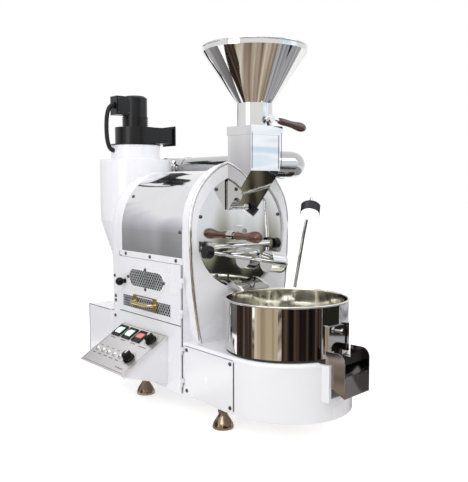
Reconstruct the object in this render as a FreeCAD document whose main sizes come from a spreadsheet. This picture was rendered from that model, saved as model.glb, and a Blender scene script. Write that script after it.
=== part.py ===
import FreeCAD, Part
import math
import os
import Sketcher
from FreeCAD import Placement, Rotation, Vector
from types import SimpleNamespace

# Home coffee bean roaster with a drum, a cooling tray, a feed hopper and a chaff cyclone.
# Lengths are millimetres. X runs across the machine, Y from the operator to the rear, Z up.
# The tray's axis is X = 0, Y = 0 before the whole machine is moved to the middle of its box.

os.makedirs("parts", exist_ok=True)
doc = FreeCAD.newDocument("CoffeeRoaster")
sheet = doc.addObject("Spreadsheet::Sheet", "Sizes")

driving_sizes = {
    # whole machine
    "origin_shift_x": 47.58,
    "origin_shift_y": -285.8,
    "half_width": 150.0,
    "sheet_steel": 2.0,
    "thin_steel": 1.5,
    "flat_gap": 0.3,
    "turn_gap": 0.05,
    # base and cabinet
    "base_bottom": 58.0,
    "base_top": 186.0,
    "base_edge_round": 8.0,
    "air_opening_radius": 104.0,
    "pan_thickness": 2.5,
    "cabinet_front": 200.0,
    "cabinet_back": 556.0,
    "cabinet_round": 26.0,
    "arch_height": 446.0,
    "strip_bottom": 371.0,
    "cover_bottom": 387.0,
    "cover_back": 483.0,
    "cover_thickness": 1.2,
    "rear_box_back": 682.0,
    "rear_box_top": 215.0,
    "drawer_half_width": 120.0,
    "drawer_height": 110.0,
    "drawer_panel": 3.0,
    # feet
    "foot_radius": 25.0,
    "foot_height": 16.0,
    "foot_x": 115.0,
    "foot_front_y": 90.0,
    "foot_back_y": 429.0,
    "stem_radius": 6.0,
    # front shell and faceplate
    "shell_front": 160.0,
    "shell_arc_height": 466.0,
    "shell_foot_half": 122.0,
    "bead_radius": 3.5,
    "face_radius": 137.5,
    "face_recess": 6.0,
    "face_thickness": 4.0,
    "face_bolt_circle": 128.0,
    "face_bolt_count": 10,
    "axle_height": 446.0,
    "axle_radius": 8.0,
    "bearing_radius": 16.0,
    "bearing_length": 14.0,
    # drum
    "drum_radius": 112.0,
    "drum_front": 176.0,
    "drum_back": 468.0,
    "vane_height": 20.0,
    "vane_count": 6,
    "liner_back": 480.0,
    "liner_floor": 238.0,
    "burner_height": 300.0,
    "burner_radius": 7.0,
    "gearmotor_radius": 38.0,
    # feed
    "feed_y": 115.0,
    "feed_half_width": 45.0,
    "feed_front": 75.0,
    "feed_low": 593.0,
    "feed_mouth_low": 500.0,
    "feed_top": 676.0,
    "collar_height": 21.0,
    "collar_half_width": 48.5,
    "collar_half_depth": 45.0,
    "neck_radius": 42.0,
    "neck_height": 53.0,
    "hopper_radius": 122.4,
    "hopper_height": 118.0,
    "rim_height": 12.0,
    "valve_height": 15.0,
    "lever_plane": 55.0,
    "lever_rod_radius": 3.5,
    "grip_length": 85.0,
    "grip_radius": 11.0,
    # trier
    "trier_x": -28.0,
    "trier_z": 438.0,
    "trier_radius": 7.0,
    "trier_reach": 125.0,
    "trier_grip_length": 92.0,
    "trier_grip_radius": 14.0,
    # discharge door
    "door_half_width": 40.0,
    "door_low": 320.0,
    "door_hinge_y": 158.0,
    "door_hinge_z": 392.0,
    "hinge_pin_radius": 4.0,
    "weight_radius": 27.0,
    "weight_length": 48.0,
    "clamp_z": 414.0,
    "clamp_y": 151.0,
    # exhaust
    "duct_radius": 33.0,
    "duct_y": 122.0,
    "duct_z": 610.0,
    "duct_x": 150.0,
    "duct_bend": 38.0,
    "cyclone_y": 663.0,
    "cyclone_radius": 106.0,
    "cyclone_top": 634.0,
    "cone_top": 456.0,
    "cone_foot_radius": 29.0,
    "cyclone_collar_radius": 73.0,
    "cyclone_collar_top": 677.0,
    # blower
    "scroll_radius": 60.0,
    "scroll_height": 50.0,
    "motor_radius": 36.0,
    "motor_height": 92.0,
    "wheel_radius": 50.0,
    "conduit_radius": 6.5,
    # cooling tray
    "seal_height": 10.0,
    "tray_radius": 140.0,
    "tray_height": 108.0,
    "rim_roll": 2.5,
    "floor_height": 12.0,
    "floor_thickness": 1.5,
    "outlet_turn": 7.1,
    "outlet_half_width": 27.0,
    "outlet_height": 46.0,
    "gate_half_width": 32.5,
    "chute_half_width": 46.0,
    "chute_front": 193.2,
    "chute_back": 122.0,
    "chute_lip_z": 117.7,
    "chute_top": 211.0,
    "chute_round": 20.0,
    "stirrer_radius": 128.0,
    "fan_radius": 80.0,
    # side doors and panel
    "door_skin": 1.5,
    "door_depth": 3.0,
    "door_gap": 0.4,
    "door_front": 204.5,
    "door_back": 498.0,
    "upper_door_low": 224.6,
    "upper_door_top": 370.0,
    "lower_door_low": 58.5,
    "lower_door_top": 222.0,
    "side_hinge_x": 155.8,
    "side_hinge_radius": 4.0,
    "window_y": 361.0,
    "window_z": 319.0,
    "window_length": 165.0,
    "window_height": 43.0,
    "grille_front": 243.0,
    "grille_back": 480.0,
    "grille_low": 235.0,
    "grille_top": 273.0,
    "screen_hole": 2.6,
    "screen_pitch": 8.0,
    "handle_front": 316.0,
    "handle_back": 412.0,
    "handle_z": 258.0,
    "handle_reach": 18.0,
    "handle_radius": 4.0,
    "latch_y": 465.0,
    "latch_z": 305.0,
    "latch_radius": 11.0,
    "panel_front": 257.0,
    "panel_back": 474.0,
    "panel_top_z": 193.6,
    "panel_reach": 284.0,
    "panel_low_z": 113.0,
    "panel_under_z": 71.0,
    "panel_thickness": 2.0,
    "rocker_size": 38.0,
    "dial_radius": 15.0,
    "dial_height": 20.0,
    # lamp
    "lamp_x": 128.0,
    "lamp_y": 118.0,
    "lamp_tube_radius": 4.5,
    "lamp_head_radius": 23.0,
    "lamp_head_length": 34.0,
    # screws
    "screw_head_radius": 4.0,
    "screw_head_height": 2.2,
}

for row, (word, number) in enumerate(driving_sizes.items(), start=1):
    sheet.set(f"A{row}", word)
    sheet.set(f"B{row}", str(number))
    sheet.setAlias(f"B{row}", word)
doc.recompute()


class Size:
    """A length that knows both its expression on the sheet and its present value."""

    def __init__(self, text, value):
        self.text = text
        self.value = value

    def __add__(self, other):
        return joined(self, "+", other)

    def __radd__(self, other):
        return joined(other, "+", self)

    def __sub__(self, other):
        return joined(self, "-", other)

    def __rsub__(self, other):
        return joined(other, "-", self)

    def __mul__(self, other):
        return joined(self, "*", other)

    def __rmul__(self, other):
        return joined(other, "*", self)

    def __truediv__(self, other):
        return joined(self, "/", other)

    def __neg__(self):
        return Size(f"(0 - {self.text})", -self.value)


def as_size(item):
    return item if isinstance(item, Size) else Size(f"({item})", float(item))


def joined(left, sign, right):
    left = as_size(left)
    right = as_size(right)
    results = {
        "+": left.value + right.value,
        "-": left.value - right.value,
        "*": left.value * right.value,
        "/": left.value / right.value if right.value else 0.0,
    }
    return Size(f"({left.text} {sign} {right.text})", results[sign])


def num(item):
    return as_size(item).value


d = SimpleNamespace(**{word: Size(f"Sizes.{word}", sheet.get(word)) for word in driving_sizes})

nodes = []
seats = {}
used_names = {}


def free_name(stem):
    used_names[stem] = used_names.get(stem, 0) + 1
    return f"{stem}_{used_names[stem]}"


def bind(item, **sizes):
    for prop, size in sizes.items():
        item.setExpression(prop, as_size(size).text)


def seat(item, x=0, y=0, z=0, turn=None):
    """Put an object at a place given by sizes, turned first by a fixed (axis, angle)."""
    if turn:
        item.Placement = Placement(Vector(), Rotation(Vector(*turn[0]), turn[1]))
    seats[item.Name] = (as_size(x), as_size(y), as_size(z))
    for letter, size in zip("xyz", seats[item.Name]):
        item.setExpression(f"Placement.Base.{letter}", size.text)
    return item


along = {"x": ((0, 1, 0), 90), "y": ((1, 0, 0), -90), "z": None, "-x": ((0, 1, 0), -90),
         "-y": ((1, 0, 0), 90)}


def box(x, y, z, to_x, to_y, to_z):
    item = doc.addObject("Part::Box", free_name("box"))
    bind(item, Length=as_size(to_x) - x, Width=as_size(to_y) - y, Height=as_size(to_z) - z)
    return seat(item, x, y, z)


def rod(radius, length, x=0, y=0, z=0, way="z"):
    item = doc.addObject("Part::Cylinder", free_name("rod"))
    bind(item, Radius=radius, Height=length)
    return seat(item, x, y, z, along[way])


def taper(radius, end_radius, length, x=0, y=0, z=0, way="z"):
    item = doc.addObject("Part::Cone", free_name("taper"))
    bind(item, Radius1=radius, Radius2=end_radius, Height=length)
    return seat(item, x, y, z, along[way])


def ball(radius, x=0, y=0, z=0):
    item = doc.addObject("Part::Sphere", free_name("ball"))
    bind(item, Radius=radius)
    return seat(item, x, y, z)


def ring(path_radius, wire_radius, x=0, y=0, z=0, way="z"):
    item = doc.addObject("Part::Torus", free_name("ring"))
    bind(item, Radius1=path_radius, Radius2=wire_radius)
    return seat(item, x, y, z, along[way])


def fuse(*pieces):
    item = doc.addObject("Part::MultiFuse", free_name("joined"))
    item.Shapes = list(pieces)
    item.Refine = False
    return item


def cut(base, *tools):
    item = doc.addObject("Part::Cut", free_name("cut"))
    item.Base = base
    item.Tool = tools[0] if len(tools) == 1 else fuse(*tools)
    item.Refine = False
    return item


def group(*pieces):
    item = doc.addObject("Part::Compound", free_name("group"))
    item.Links = list(pieces)
    return item


def tube(radius, bore, length, x=0, y=0, z=0, way="z"):
    return cut(rod(radius, length, x, y, z, way), rod(bore, length, x, y, z, way))


def outlet(item):
    """Turn an object drawn on the -Y side of the tray to the outlet's direction."""
    holder = group(item)
    holder.Placement = Placement(Vector(), Rotation(Vector(0, 0, 1), num(d.outlet_turn)))
    return holder


def solid(name, shape):
    """An object whose shape comes from points worked out from the sheet."""
    item = doc.addObject("Part::Feature", free_name(name))
    item.Shape = shape
    return item


def node(label, item):
    """Name a finished sub-part and move it with the whole machine."""
    x, y, z = seats.get(item.Name, (as_size(0), as_size(0), as_size(0)))
    if item.Name not in seats:
        spot = item.Placement.Base
        x, y, z = as_size(spot.x), as_size(spot.y), as_size(spot.z)
    seat(item, x + d.origin_shift_x, y + d.origin_shift_y, z)
    item.Label = label
    nodes.append(item)
    return item


def origin_plane(body, role):
    return next(item for item in body.Origin.OriginFeatures if item.Role == role)


def arc_centre(start, end, centre_y):
    """The centre at a given height of an arc through two points that differ in X."""
    square_gap = end.x ** 2 + end.y ** 2 - start.x ** 2 - start.y ** 2
    centre_x = (square_gap - 2 * (end.y - start.y) * centre_y) / (2 * (end.x - start.x))
    return Vector(centre_x, centre_y, 0)


def draw(sketch, outline):
    """Draw a closed outline.

    Each entry is (x, y) for a straight side up to that corner, or (x, y, centre_y, sense) for
    an arc up to it, where sense is 1 for anticlockwise and -1 for clockwise.
    """
    corners = [(num(entry[0]), num(entry[1])) for entry in outline]
    first = sketch.GeometryCount
    for place, entry in enumerate(outline):
        start = Vector(*corners[place - 1], 0)
        end = Vector(*corners[place], 0)
        if len(entry) == 2:
            sketch.addGeometry(Part.LineSegment(start, end), False)
            continue
        sense = entry[3]
        centre = arc_centre(start, end, num(entry[2]))
        from_angle = math.atan2(start.y - centre.y, start.x - centre.x)
        to_angle = math.atan2(end.y - centre.y, end.x - centre.x)
        if sense < 0:
            from_angle, to_angle = to_angle, from_angle
        circle = Part.Circle(centre, Vector(0, 0, 1), (start - centre).Length)
        sketch.addGeometry(Part.ArcOfCircle(circle, from_angle, to_angle), False)
    total = len(outline)
    for place, entry in enumerate(outline):
        this, after = first + place, first + (place + 1) % total
        end_here = 1 if len(entry) == 4 and entry[3] < 0 else 2
        next_entry = outline[(place + 1) % total]
        start_next = 2 if len(next_entry) == 4 and next_entry[3] < 0 else 1
        sketch.addConstraint(Sketcher.Constraint("Coincident", this, end_here, after, start_next))
        for kind, size in (("DistanceX", entry[0]), ("DistanceY", entry[1])):
            mark = sketch.addConstraint(Sketcher.Constraint(kind, -1, 1, this, end_here, num(size)))
            sketch.setExpression(f"Constraints[{mark}]", as_size(size).text)
        if len(entry) == 4:
            mark = sketch.addConstraint(Sketcher.Constraint("DistanceY", -1, 1, this, 3, num(entry[2])))
            sketch.setExpression(f"Constraints[{mark}]", as_size(entry[2]).text)


def new_sketch(body, plane):
    sketch = body.newObject("Sketcher::SketchObject", free_name("sketch"))
    sketch.AttachmentSupport = [(origin_plane(body, plane), "")]
    sketch.MapMode = "FlatFace"
    return sketch


def pad(plane, start, length, *outlines):
    """A plate or block padded from an origin plane; start is its place along the normal."""
    body = doc.addObject("PartDesign::Body", free_name("body"))
    sketch = new_sketch(body, plane)
    for outline in outlines:
        draw(sketch, outline)
    feature = body.newObject("PartDesign::Pad", free_name("pad"))
    feature.Profile = sketch
    bind(feature, Length=length)
    if plane == "XZ_Plane":
        feature.Reversed = True
    body.Tip = feature
    places = {"XY_Plane": (0, 0, start), "XZ_Plane": (0, start, 0), "YZ_Plane": (start, 0, 0)}
    return seat(body, *places[plane])


def revolve(outline, x=0, y=0, z=0, turn=None):
    """A body of revolution about Z from an outline of (radius, height) corners."""
    body = doc.addObject("PartDesign::Body", free_name("body"))
    sketch = new_sketch(body, "XZ_Plane")
    draw(sketch, outline)
    feature = body.newObject("PartDesign::Revolution", free_name("revolution"))
    feature.Profile = sketch
    feature.ReferenceAxis = (sketch, ["V_Axis"])
    feature.Angle = 360
    body.Tip = feature
    return seat(body, x, y, z, turn)


def round_edges(body, radius, chosen):
    """Fillet the edges of a body's tip that the test picks."""
    doc.recompute()
    base = body.Tip
    edges = [f"Edge{i}" for i, edge in enumerate(base.Shape.Edges, start=1) if chosen(edge)]
    feature = body.newObject("PartDesign::Fillet", free_name("fillet"))
    feature.Base = (base, edges)
    bind(feature, Radius=radius)
    body.Tip = feature
    return body


def route(points, bends):
    """Straight runs through points, with an arc of the given radius at each inner point."""
    edges = []
    here = Vector(*points[0])
    for place in range(1, len(points) - 1):
        corner = Vector(*points[place])
        back = (Vector(*points[place - 1]) - corner).normalize()
        ahead = (Vector(*points[place + 1]) - corner).normalize()
        half = back.getAngle(ahead) / 2
        reach = bends[place - 1] / math.tan(half)
        start, end = corner + back * reach, corner + ahead * reach
        middle_way = (back + ahead).normalize()
        centre = corner + middle_way * (bends[place - 1] / math.sin(half))
        middle = centre - middle_way * bends[place - 1]
        if (start - here).Length > 1e-6:
            edges.append(Part.LineSegment(here, start).toShape())
        edges.append(Part.Arc(start, middle, end).toShape())
        here = end
    edges.append(Part.LineSegment(here, Vector(*points[-1])).toShape())
    return Part.Wire(edges)


def pipe(path, radius):
    start = path.Edges[0]
    first = start.firstVertex(True).Point
    way = start.tangentAt(start.FirstParameter)
    section = Part.Wire([Part.Circle(first, way, radius).toShape()])
    return path.makePipeShell([section], True, True)


def hollow_pipe(path, radius, bore):
    return pipe(path, radius).cut(pipe(path, bore))


def link(start, end, radius):
    """A straight round bar between two points."""
    first, last = Vector(*start), Vector(*end)
    return Part.makeCylinder(radius, (last - first).Length, first, last - first)


# Base, cabinet and rear box

def nose_outline(inset, back):
    radius = d.half_width - inset
    return [(-radius, back), (-radius, 0), (radius, 0, 0, 1), (radius, back)]


def arch_outline(inset, foot, half=d.half_width, centre=d.arch_height):
    radius = half - inset
    return [(-radius, foot), (radius, foot), (radius, centre), (-radius, centre, centre, 1)]


side_drop = d.shell_arc_height - d.base_top
shell_span = d.half_width - d.shell_foot_half
side_radius = (shell_span * shell_span + side_drop * side_drop) / (2 * shell_span)


def shell_outline(inset, foot):
    top = d.half_width - inset
    base = d.shell_foot_half - inset
    centre = d.shell_arc_height
    return [(base, foot), (top, centre, centre, 1), (-top, centre, centre, 1), (-base, foot, centre, 1)]


base_height = d.base_top - d.base_bottom
base_outer = pad("XY_Plane", d.base_bottom, base_height, nose_outline(0, d.cabinet_front))
round_edges(base_outer, d.base_edge_round,
            lambda edge: edge.BoundBox.ZMin > num(base_height) - 0.1
            and edge.BoundBox.YMin < num(d.cabinet_front) - 1)
base_inner = pad("XY_Plane", d.base_bottom - 1, base_height + 1 - d.sheet_steel,
                 nose_outline(d.sheet_steel, d.cabinet_front + 1))
round_edges(base_inner, d.base_edge_round - d.sheet_steel,
            lambda edge: edge.BoundBox.ZMin > num(base_height + 1 - d.sheet_steel) - 0.1
            and edge.BoundBox.YMin < num(d.cabinet_front) - 1)
bracket_half = d.chute_half_width + 0.3 + 8
bracket_front = 160
bracket_low = d.chute_lip_z - 14
notch = outlet(box(-bracket_half, -180, bracket_low, bracket_half, -d.chute_back + 4, d.base_top + 1))
air_opening = rod(d.air_opening_radius, d.sheet_steel + 8, 0, 0, d.base_top - 6)
node("base_shell", cut(base_outer, base_inner, notch, air_opening))

pan_back = d.rear_box_back - d.sheet_steel - 0.2
pan = pad("XY_Plane", d.base_bottom, d.pan_thickness, nose_outline(d.sheet_steel + 0.2, pan_back))
pan_notches = [box(low_x, d.cabinet_back - d.cabinet_round - 6, d.base_bottom - 1,
                   high_x, d.cabinet_back + 1, d.base_bottom + d.pan_thickness + 1)
               for low_x, high_x in ((-d.half_width, -d.half_width + d.cabinet_round + 3),
                                     (d.half_width - d.cabinet_round - 3, d.half_width))]
foot_places = [(side * d.foot_x, y) for side in (-1, 1) for y in (d.foot_front_y, d.foot_back_y)]
foot_holes = [rod(d.stem_radius + 0.1, d.pan_thickness + 4, x, y, d.base_bottom - 2) for x, y in foot_places]
node("base_pan", cut(pan, *pan_notches, *foot_holes))

cabinet_depth = d.cabinet_back - d.cabinet_front
cabinet_outer = pad("XZ_Plane", d.cabinet_front, cabinet_depth, arch_outline(0, d.base_bottom))
round_edges(cabinet_outer, d.cabinet_round,
            lambda edge: edge.BoundBox.YMin > num(cabinet_depth) - 0.1
            and edge.BoundBox.ZMax > num(d.arch_height) + 1)
cabinet_inner = pad("XZ_Plane", d.cabinet_front - 1, cabinet_depth + 1 - d.sheet_steel,
                    arch_outline(d.sheet_steel, d.base_bottom - 1))
round_edges(cabinet_inner, d.cabinet_round - d.sheet_steel,
            lambda edge: edge.BoundBox.YMin > num(cabinet_depth + 1 - d.sheet_steel) - 0.1
            and edge.BoundBox.ZMax > num(d.arch_height) + 1)
frame_lap = 10
opening_front = d.door_front + frame_lap
opening_back = d.door_back - frame_lap
upper_opening = box(-d.half_width - 1, opening_front, d.upper_door_low + frame_lap,
                    -d.half_width + 5, opening_back, d.upper_door_top - frame_lap)
lower_opening = box(-d.half_width - 1, opening_front, d.lower_door_low + frame_lap,
                    -d.half_width + 5, opening_back, d.lower_door_top - frame_lap)
pan_passage = box(-d.half_width + d.sheet_steel, d.cabinet_back - 5, d.base_bottom - 1,
                  d.half_width - d.sheet_steel, d.cabinet_back + 1, d.rear_box_top - 20)
strips = [box(side, d.cabinet_front + 0.5, d.strip_bottom, side + d.sheet_steel, d.cover_back,
              d.cover_bottom - 0.3)
          for side in (-d.half_width - d.sheet_steel, d.half_width)]
cabinet = cut(cabinet_outer, cabinet_inner, upper_opening, lower_opening, pan_passage)
front_wall = cut(pad("XZ_Plane", d.cabinet_front, d.sheet_steel, arch_outline(0, d.base_bottom)),
                 pad("XZ_Plane", d.cabinet_front - 1, d.sheet_steel + 2,
                     shell_outline(d.sheet_steel, d.base_top + d.sheet_steel)),
                 box(-d.half_width + d.sheet_steel, d.cabinet_front - 1, d.base_bottom - 1,
                     d.half_width - d.sheet_steel, d.cabinet_front + d.sheet_steel + 1,
                     d.base_top - d.sheet_steel))
node("cabinet_shell", fuse(cabinet, front_wall, *strips))

cover_outer = d.half_width + d.flat_gap + d.cover_thickness
cover_inner = d.half_width + d.flat_gap
cover = pad("XZ_Plane", d.cabinet_front + 0.5, d.cover_back - d.cabinet_front - 0.5,
            [(-cover_outer, d.cover_bottom), (-cover_inner, d.cover_bottom),
             (-cover_inner, d.arch_height), (cover_inner, d.arch_height, d.arch_height, -1),
             (cover_inner, d.cover_bottom), (cover_outer, d.cover_bottom),
             (cover_outer, d.arch_height), (-cover_outer, d.arch_height, d.arch_height, 1)])
node("wrap_cover", cover)

panel_plate = box(-d.half_width - d.thin_steel, 9, 64, -d.half_width, 192, 178)
node("service_panel", panel_plate)

rear_depth = d.rear_box_back - d.cabinet_back
rear_outer = box(-d.half_width, d.cabinet_back, d.base_bottom, d.half_width, d.rear_box_back, d.rear_box_top)
rear_inner = box(-d.half_width + d.sheet_steel, d.cabinet_back - 1, d.base_bottom - 1,
                 d.half_width - d.sheet_steel, d.rear_box_back - d.sheet_steel,
                 d.rear_box_top - d.sheet_steel)
drawer_floor = d.base_bottom + d.pan_thickness + d.flat_gap
drawer_mouth = box(-d.drawer_half_width - 0.5, d.rear_box_back - 5, d.base_bottom - 1,
                   d.drawer_half_width + 0.5, d.rear_box_back + 1, drawer_floor + d.drawer_height + 0.5)
cone_hole = rod(d.cone_foot_radius - d.sheet_steel, 10, 0, d.cyclone_y - 40, d.rear_box_top - 5)
node("rear_box", cut(rear_outer, rear_inner, drawer_mouth, cone_hole))

drawer_front = d.cabinet_back + 12
drawer = fuse(
    cut(box(-d.drawer_half_width, drawer_front, drawer_floor,
            d.drawer_half_width, d.rear_box_back + d.flat_gap + 0.5, drawer_floor + d.drawer_height),
        box(-d.drawer_half_width + d.sheet_steel, drawer_front + d.sheet_steel, drawer_floor + d.sheet_steel,
            d.drawer_half_width - d.sheet_steel, d.rear_box_back - d.sheet_steel,
            drawer_floor + d.drawer_height + 1)),
    box(-d.drawer_half_width - 6, d.rear_box_back + d.flat_gap, d.base_bottom,
        d.drawer_half_width + 6, d.rear_box_back + d.flat_gap + d.drawer_panel,
        drawer_floor + d.drawer_height + 6),
    rod(4, 20, -30, d.rear_box_back + d.drawer_panel, d.base_bottom + 60, "y"),
    rod(4, 20, 30, d.rear_box_back + d.drawer_panel, d.base_bottom + 60, "y"),
    rod(5, 80, -40, d.rear_box_back + d.drawer_panel + 20, d.base_bottom + 60, "x"))
node("chaff_drawer", drawer)


inlet_y = d.cabinet_front + 250
inlet_plate = box(d.half_width, inlet_y, 96, d.half_width + 3, inlet_y + 48, 132)
inlet_socket = box(d.half_width, inlet_y + 9, 102, d.half_width + 8, inlet_y + 39, 126)
inlet_space = box(d.half_width + 2, inlet_y + 12, 105, d.half_width + 9, inlet_y + 36, 123)
inlet_blades = [box(d.half_width + 2, inlet_y + 12 + step, 112, d.half_width + 7, inlet_y + 13.5 + step, 116)
                for step in (5, 11, 17)]
node("power_inlet", fuse(cut(fuse(inlet_plate, inlet_socket), inlet_space), *inlet_blades))

# Levelling feet with their stems and lock nuts

def foot(x, y):
    dome = revolve([(0, 0), (d.foot_radius, 0), (d.foot_radius, 4),
                    (d.foot_radius * 0.9, 8.5), (d.foot_radius * 0.66, 13), (d.stem_radius + 3,
                                                                             d.foot_height),
                    (0, d.foot_height)], x, y, 0)
    stem = rod(d.stem_radius, d.base_bottom - d.foot_height + 12, x, y, d.foot_height - 1)
    nut = rod(d.stem_radius + 5, 6, x, y, d.base_bottom - 6)
    return fuse(dome, stem, nut)


node("levelling_feet", group(*[foot(x, y) for x, y in foot_places]))

# Front shell, bead and faceplate

shell_depth = d.cabinet_front - d.shell_front
face_front = d.shell_front + d.face_recess
face_back = face_front + d.face_thickness
shell_block = pad("XZ_Plane", d.shell_front, shell_depth, shell_outline(0, d.base_top))
shell_space = pad("XZ_Plane", d.shell_front + d.sheet_steel, shell_depth,
                  shell_outline(d.sheet_steel, d.base_top + d.sheet_steel))
face_hole = rod(d.face_radius + d.flat_gap, shell_depth + 2, 0, d.shell_front - 1, d.arch_height, "y")
hoop = tube(d.face_radius + d.flat_gap + d.sheet_steel, d.face_radius + d.flat_gap,
            face_back - d.shell_front + 3, 0, d.shell_front, d.arch_height, "y")
flange = tube(d.face_radius + d.flat_gap + d.sheet_steel, d.face_radius - 18, 3, 0, face_back, d.arch_height,
              "y")
shell_back = cut(pad("XZ_Plane", d.cabinet_front - d.sheet_steel, d.sheet_steel,
                     shell_outline(0, d.base_top)),
                 pad("XZ_Plane", d.cabinet_front - d.sheet_steel - 1, d.sheet_steel + 2,
                     arch_outline(d.sheet_steel, d.base_top + d.sheet_steel)))
node("front_shell", fuse(cut(shell_block, shell_space, face_hole), hoop, flange, shell_back))


def bead_shape():
    offset = num(d.bead_radius)
    half, foot_half = num(d.half_width), num(d.shell_foot_half)
    arc_z, low = num(d.shell_arc_height), num(d.base_top)
    side = num(side_radius)
    top = half + offset
    y = num(d.shell_front) + offset
    centre_x = half - side
    drop = math.asin((arc_z - low - 1) / (side + offset))

    def side_point(share, sign):
        angle = drop * share
        return Vector(sign * (centre_x + (side + offset) * math.cos(angle)), y,
                      arc_z - (side + offset) * math.sin(angle))

    edges = [Part.Arc(side_point(1, -1), side_point(0.5, -1), side_point(0, -1)).toShape(),
             Part.Arc(Vector(-top, y, arc_z), Vector(0, y, arc_z + top), Vector(top, y, arc_z)).toShape(),
             Part.Arc(side_point(0, 1), side_point(0.5, 1), side_point(1, 1)).toShape()]
    return pipe(Part.Wire(edges), offset)


node("shell_bead", solid("bead", bead_shape()))

face_disc = rod(d.face_radius, d.face_thickness, 0, face_front, d.axle_height, "y")
bearing = rod(d.bearing_radius, d.bearing_length, 0, face_front - d.bearing_length, d.axle_height, "y")
axle_bore = rod(d.axle_radius + d.turn_gap, 60, 0, face_front - 30, d.axle_height, "y")
trier_boss_front = face_front - 12
trier_boss = rod(d.trier_radius + 4, 12, d.trier_x, trier_boss_front, d.trier_z, "y")
trier_bore = rod(d.trier_radius + d.turn_gap, 60, d.trier_x, face_front - 30, d.trier_z, "y")
bean_exit = box(-d.door_half_width + 6, face_front - 1, d.door_low + 6, d.door_half_width - 6, face_back + 1,
                d.door_hinge_z - 14)
feed_mouth = box(-34, face_front - 1, d.feed_mouth_low + 4, 34, face_back + 1, d.feed_mouth_low + 64)
lug_half = d.door_half_width + 5
lugs = [box(side * lug_half - 4, d.door_hinge_y - 6, d.door_hinge_z - 7, side * lug_half + 4, face_front,
            d.door_hinge_z + 7)
        for side in (-1, 1)]
pin_bore = rod(d.hinge_pin_radius + d.turn_gap, 2 * d.door_half_width + 40,
               -d.door_half_width - 20, d.door_hinge_y, d.door_hinge_z, "x")
spout_half = d.door_half_width + 4
spout_front = 112
spout_low = d.door_low - 10.5


def spout_shape():
    wall = num(d.thin_steel)
    half = num(spout_half)
    low, high = num(spout_low), num(d.door_low) - 2
    front, back = float(spout_front), num(face_front)
    points = [Vector(0, front, low), Vector(0, back, high), Vector(0, back, high - wall),
              Vector(0, front, low - wall)]
    floor = Part.Face(Part.makePolygon(points + points[:1])).extrude(Vector(2 * half, 0, 0))
    floor.translate(Vector(-half, 0, 0))
    side_points = [Vector(0, front, low - wall), Vector(0, front, low + 6),
                   Vector(0, num(d.shell_front) - 6, high + 14),
                   Vector(0, back, high + 14), Vector(0, back, high - wall)]
    side = Part.Face(Part.makePolygon(side_points + side_points[:1]))
    left = side.extrude(Vector(wall, 0, 0))
    right = left.copy()
    left.translate(Vector(-half, 0, 0))
    right.translate(Vector(half - wall, 0, 0))
    return floor.fuse([left, right])


spout = solid("spout", spout_shape())
bracket_x = 104
brackets = [box(-bracket_x - 6, d.clamp_y - 8, d.clamp_z - 8, -bracket_x + 6, face_front, d.clamp_z + 12),
            box(74, d.clamp_y - 8, d.clamp_z - 8, 84, face_front, d.clamp_z + 9)]
clamp_bore = rod(5 + d.turn_gap, 240, -bracket_x - 10, d.clamp_y, d.clamp_z, "x")
node("faceplate", cut(fuse(face_disc, bearing, trier_boss, *lugs, spout, *brackets),
                      axle_bore, trier_bore, bean_exit, feed_mouth, pin_bore, clamp_bore))

# Drum, its liner, burner and geared motor

drum_length = d.drum_back - d.drum_front
wall = tube(d.drum_radius, d.drum_radius - d.sheet_steel, drum_length, 0, d.drum_front, d.axle_height, "y")
end_plate = rod(d.drum_radius - 1, 3, 0, d.drum_back - 3, d.axle_height, "y")
hub = rod(d.axle_radius + 10, 24, 0, d.drum_back - 24, d.axle_height, "y")
vanes = []
for turn in range(int(num(d.vane_count))):
    vane = box(-1, d.drum_front + 12, d.drum_radius - d.vane_height - 1, 1, d.drum_back - 2,
               d.drum_radius - 1)
    holder = group(vane)
    holder.Placement = Placement(Vector(0, 0, num(d.axle_height)),
                                 Rotation(Vector(0, 1, 0), 360 * turn / num(d.vane_count)))
    bind(holder, **{"Placement.Base.z": d.axle_height})
    vanes.append(holder)
shaft_start = face_front - d.bearing_length + 2
drum_shaft = rod(d.axle_radius, d.liner_back + 34 - shaft_start, 0, shaft_start, d.axle_height, "y")
node("drum", fuse(wall, end_plate, hub, *vanes, drum_shaft))

liner_gap = d.sheet_steel + d.flat_gap
liner_wall = pad("XZ_Plane", d.liner_back, d.sheet_steel, arch_outline(liner_gap, d.liner_floor))
liner_floor = box(-d.half_width + liner_gap, d.cabinet_front + liner_gap, d.liner_floor,
                  d.half_width - liner_gap, d.liner_back + 1, d.liner_floor + d.sheet_steel)
rear_housing = rod(d.bearing_radius + 6, 12, 0, d.liner_back + 1, d.axle_height, "y")
node("drum_liner", cut(fuse(liner_wall, liner_floor, rear_housing),
                       rod(d.axle_radius + d.turn_gap, 40, 0, d.liner_back - 10, d.axle_height, "y")))

gear_front = d.liner_back + 18
gearmotor = cut(
    fuse(rod(d.gearmotor_radius, d.cabinet_back - d.sheet_steel - gear_front, 0, gear_front, d.axle_height,
             "y"),
         box(-45, d.liner_back + d.sheet_steel, d.axle_height - 52, 45, d.liner_back + 22,
             d.axle_height - 30)),
    rod(d.axle_radius + d.turn_gap, 40, 0, gear_front - 5, d.axle_height, "y"))
node("drum_gearmotor", gearmotor)

burner_tubes = [rod(d.burner_radius, 230, x, d.cabinet_front + 20, d.burner_height, "y")
                for x in (-50, 0, 50)]
burner_posts = [box(-65, y, d.liner_floor + d.sheet_steel, 65, y + 4, d.burner_height + 2)
                for y in (d.cabinet_front + 45, d.cabinet_front + 215)]
node("burner", fuse(*burner_tubes, *burner_posts))

# Feed box, hopper and feed gate


def feed_outline(inset, back):
    top = d.feed_top - inset
    return [(d.feed_front + inset, d.feed_low + inset * 0.6), (back, d.feed_mouth_low + inset * 1.6),
            (back, top), (d.feed_front + inset, top)]


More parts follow.
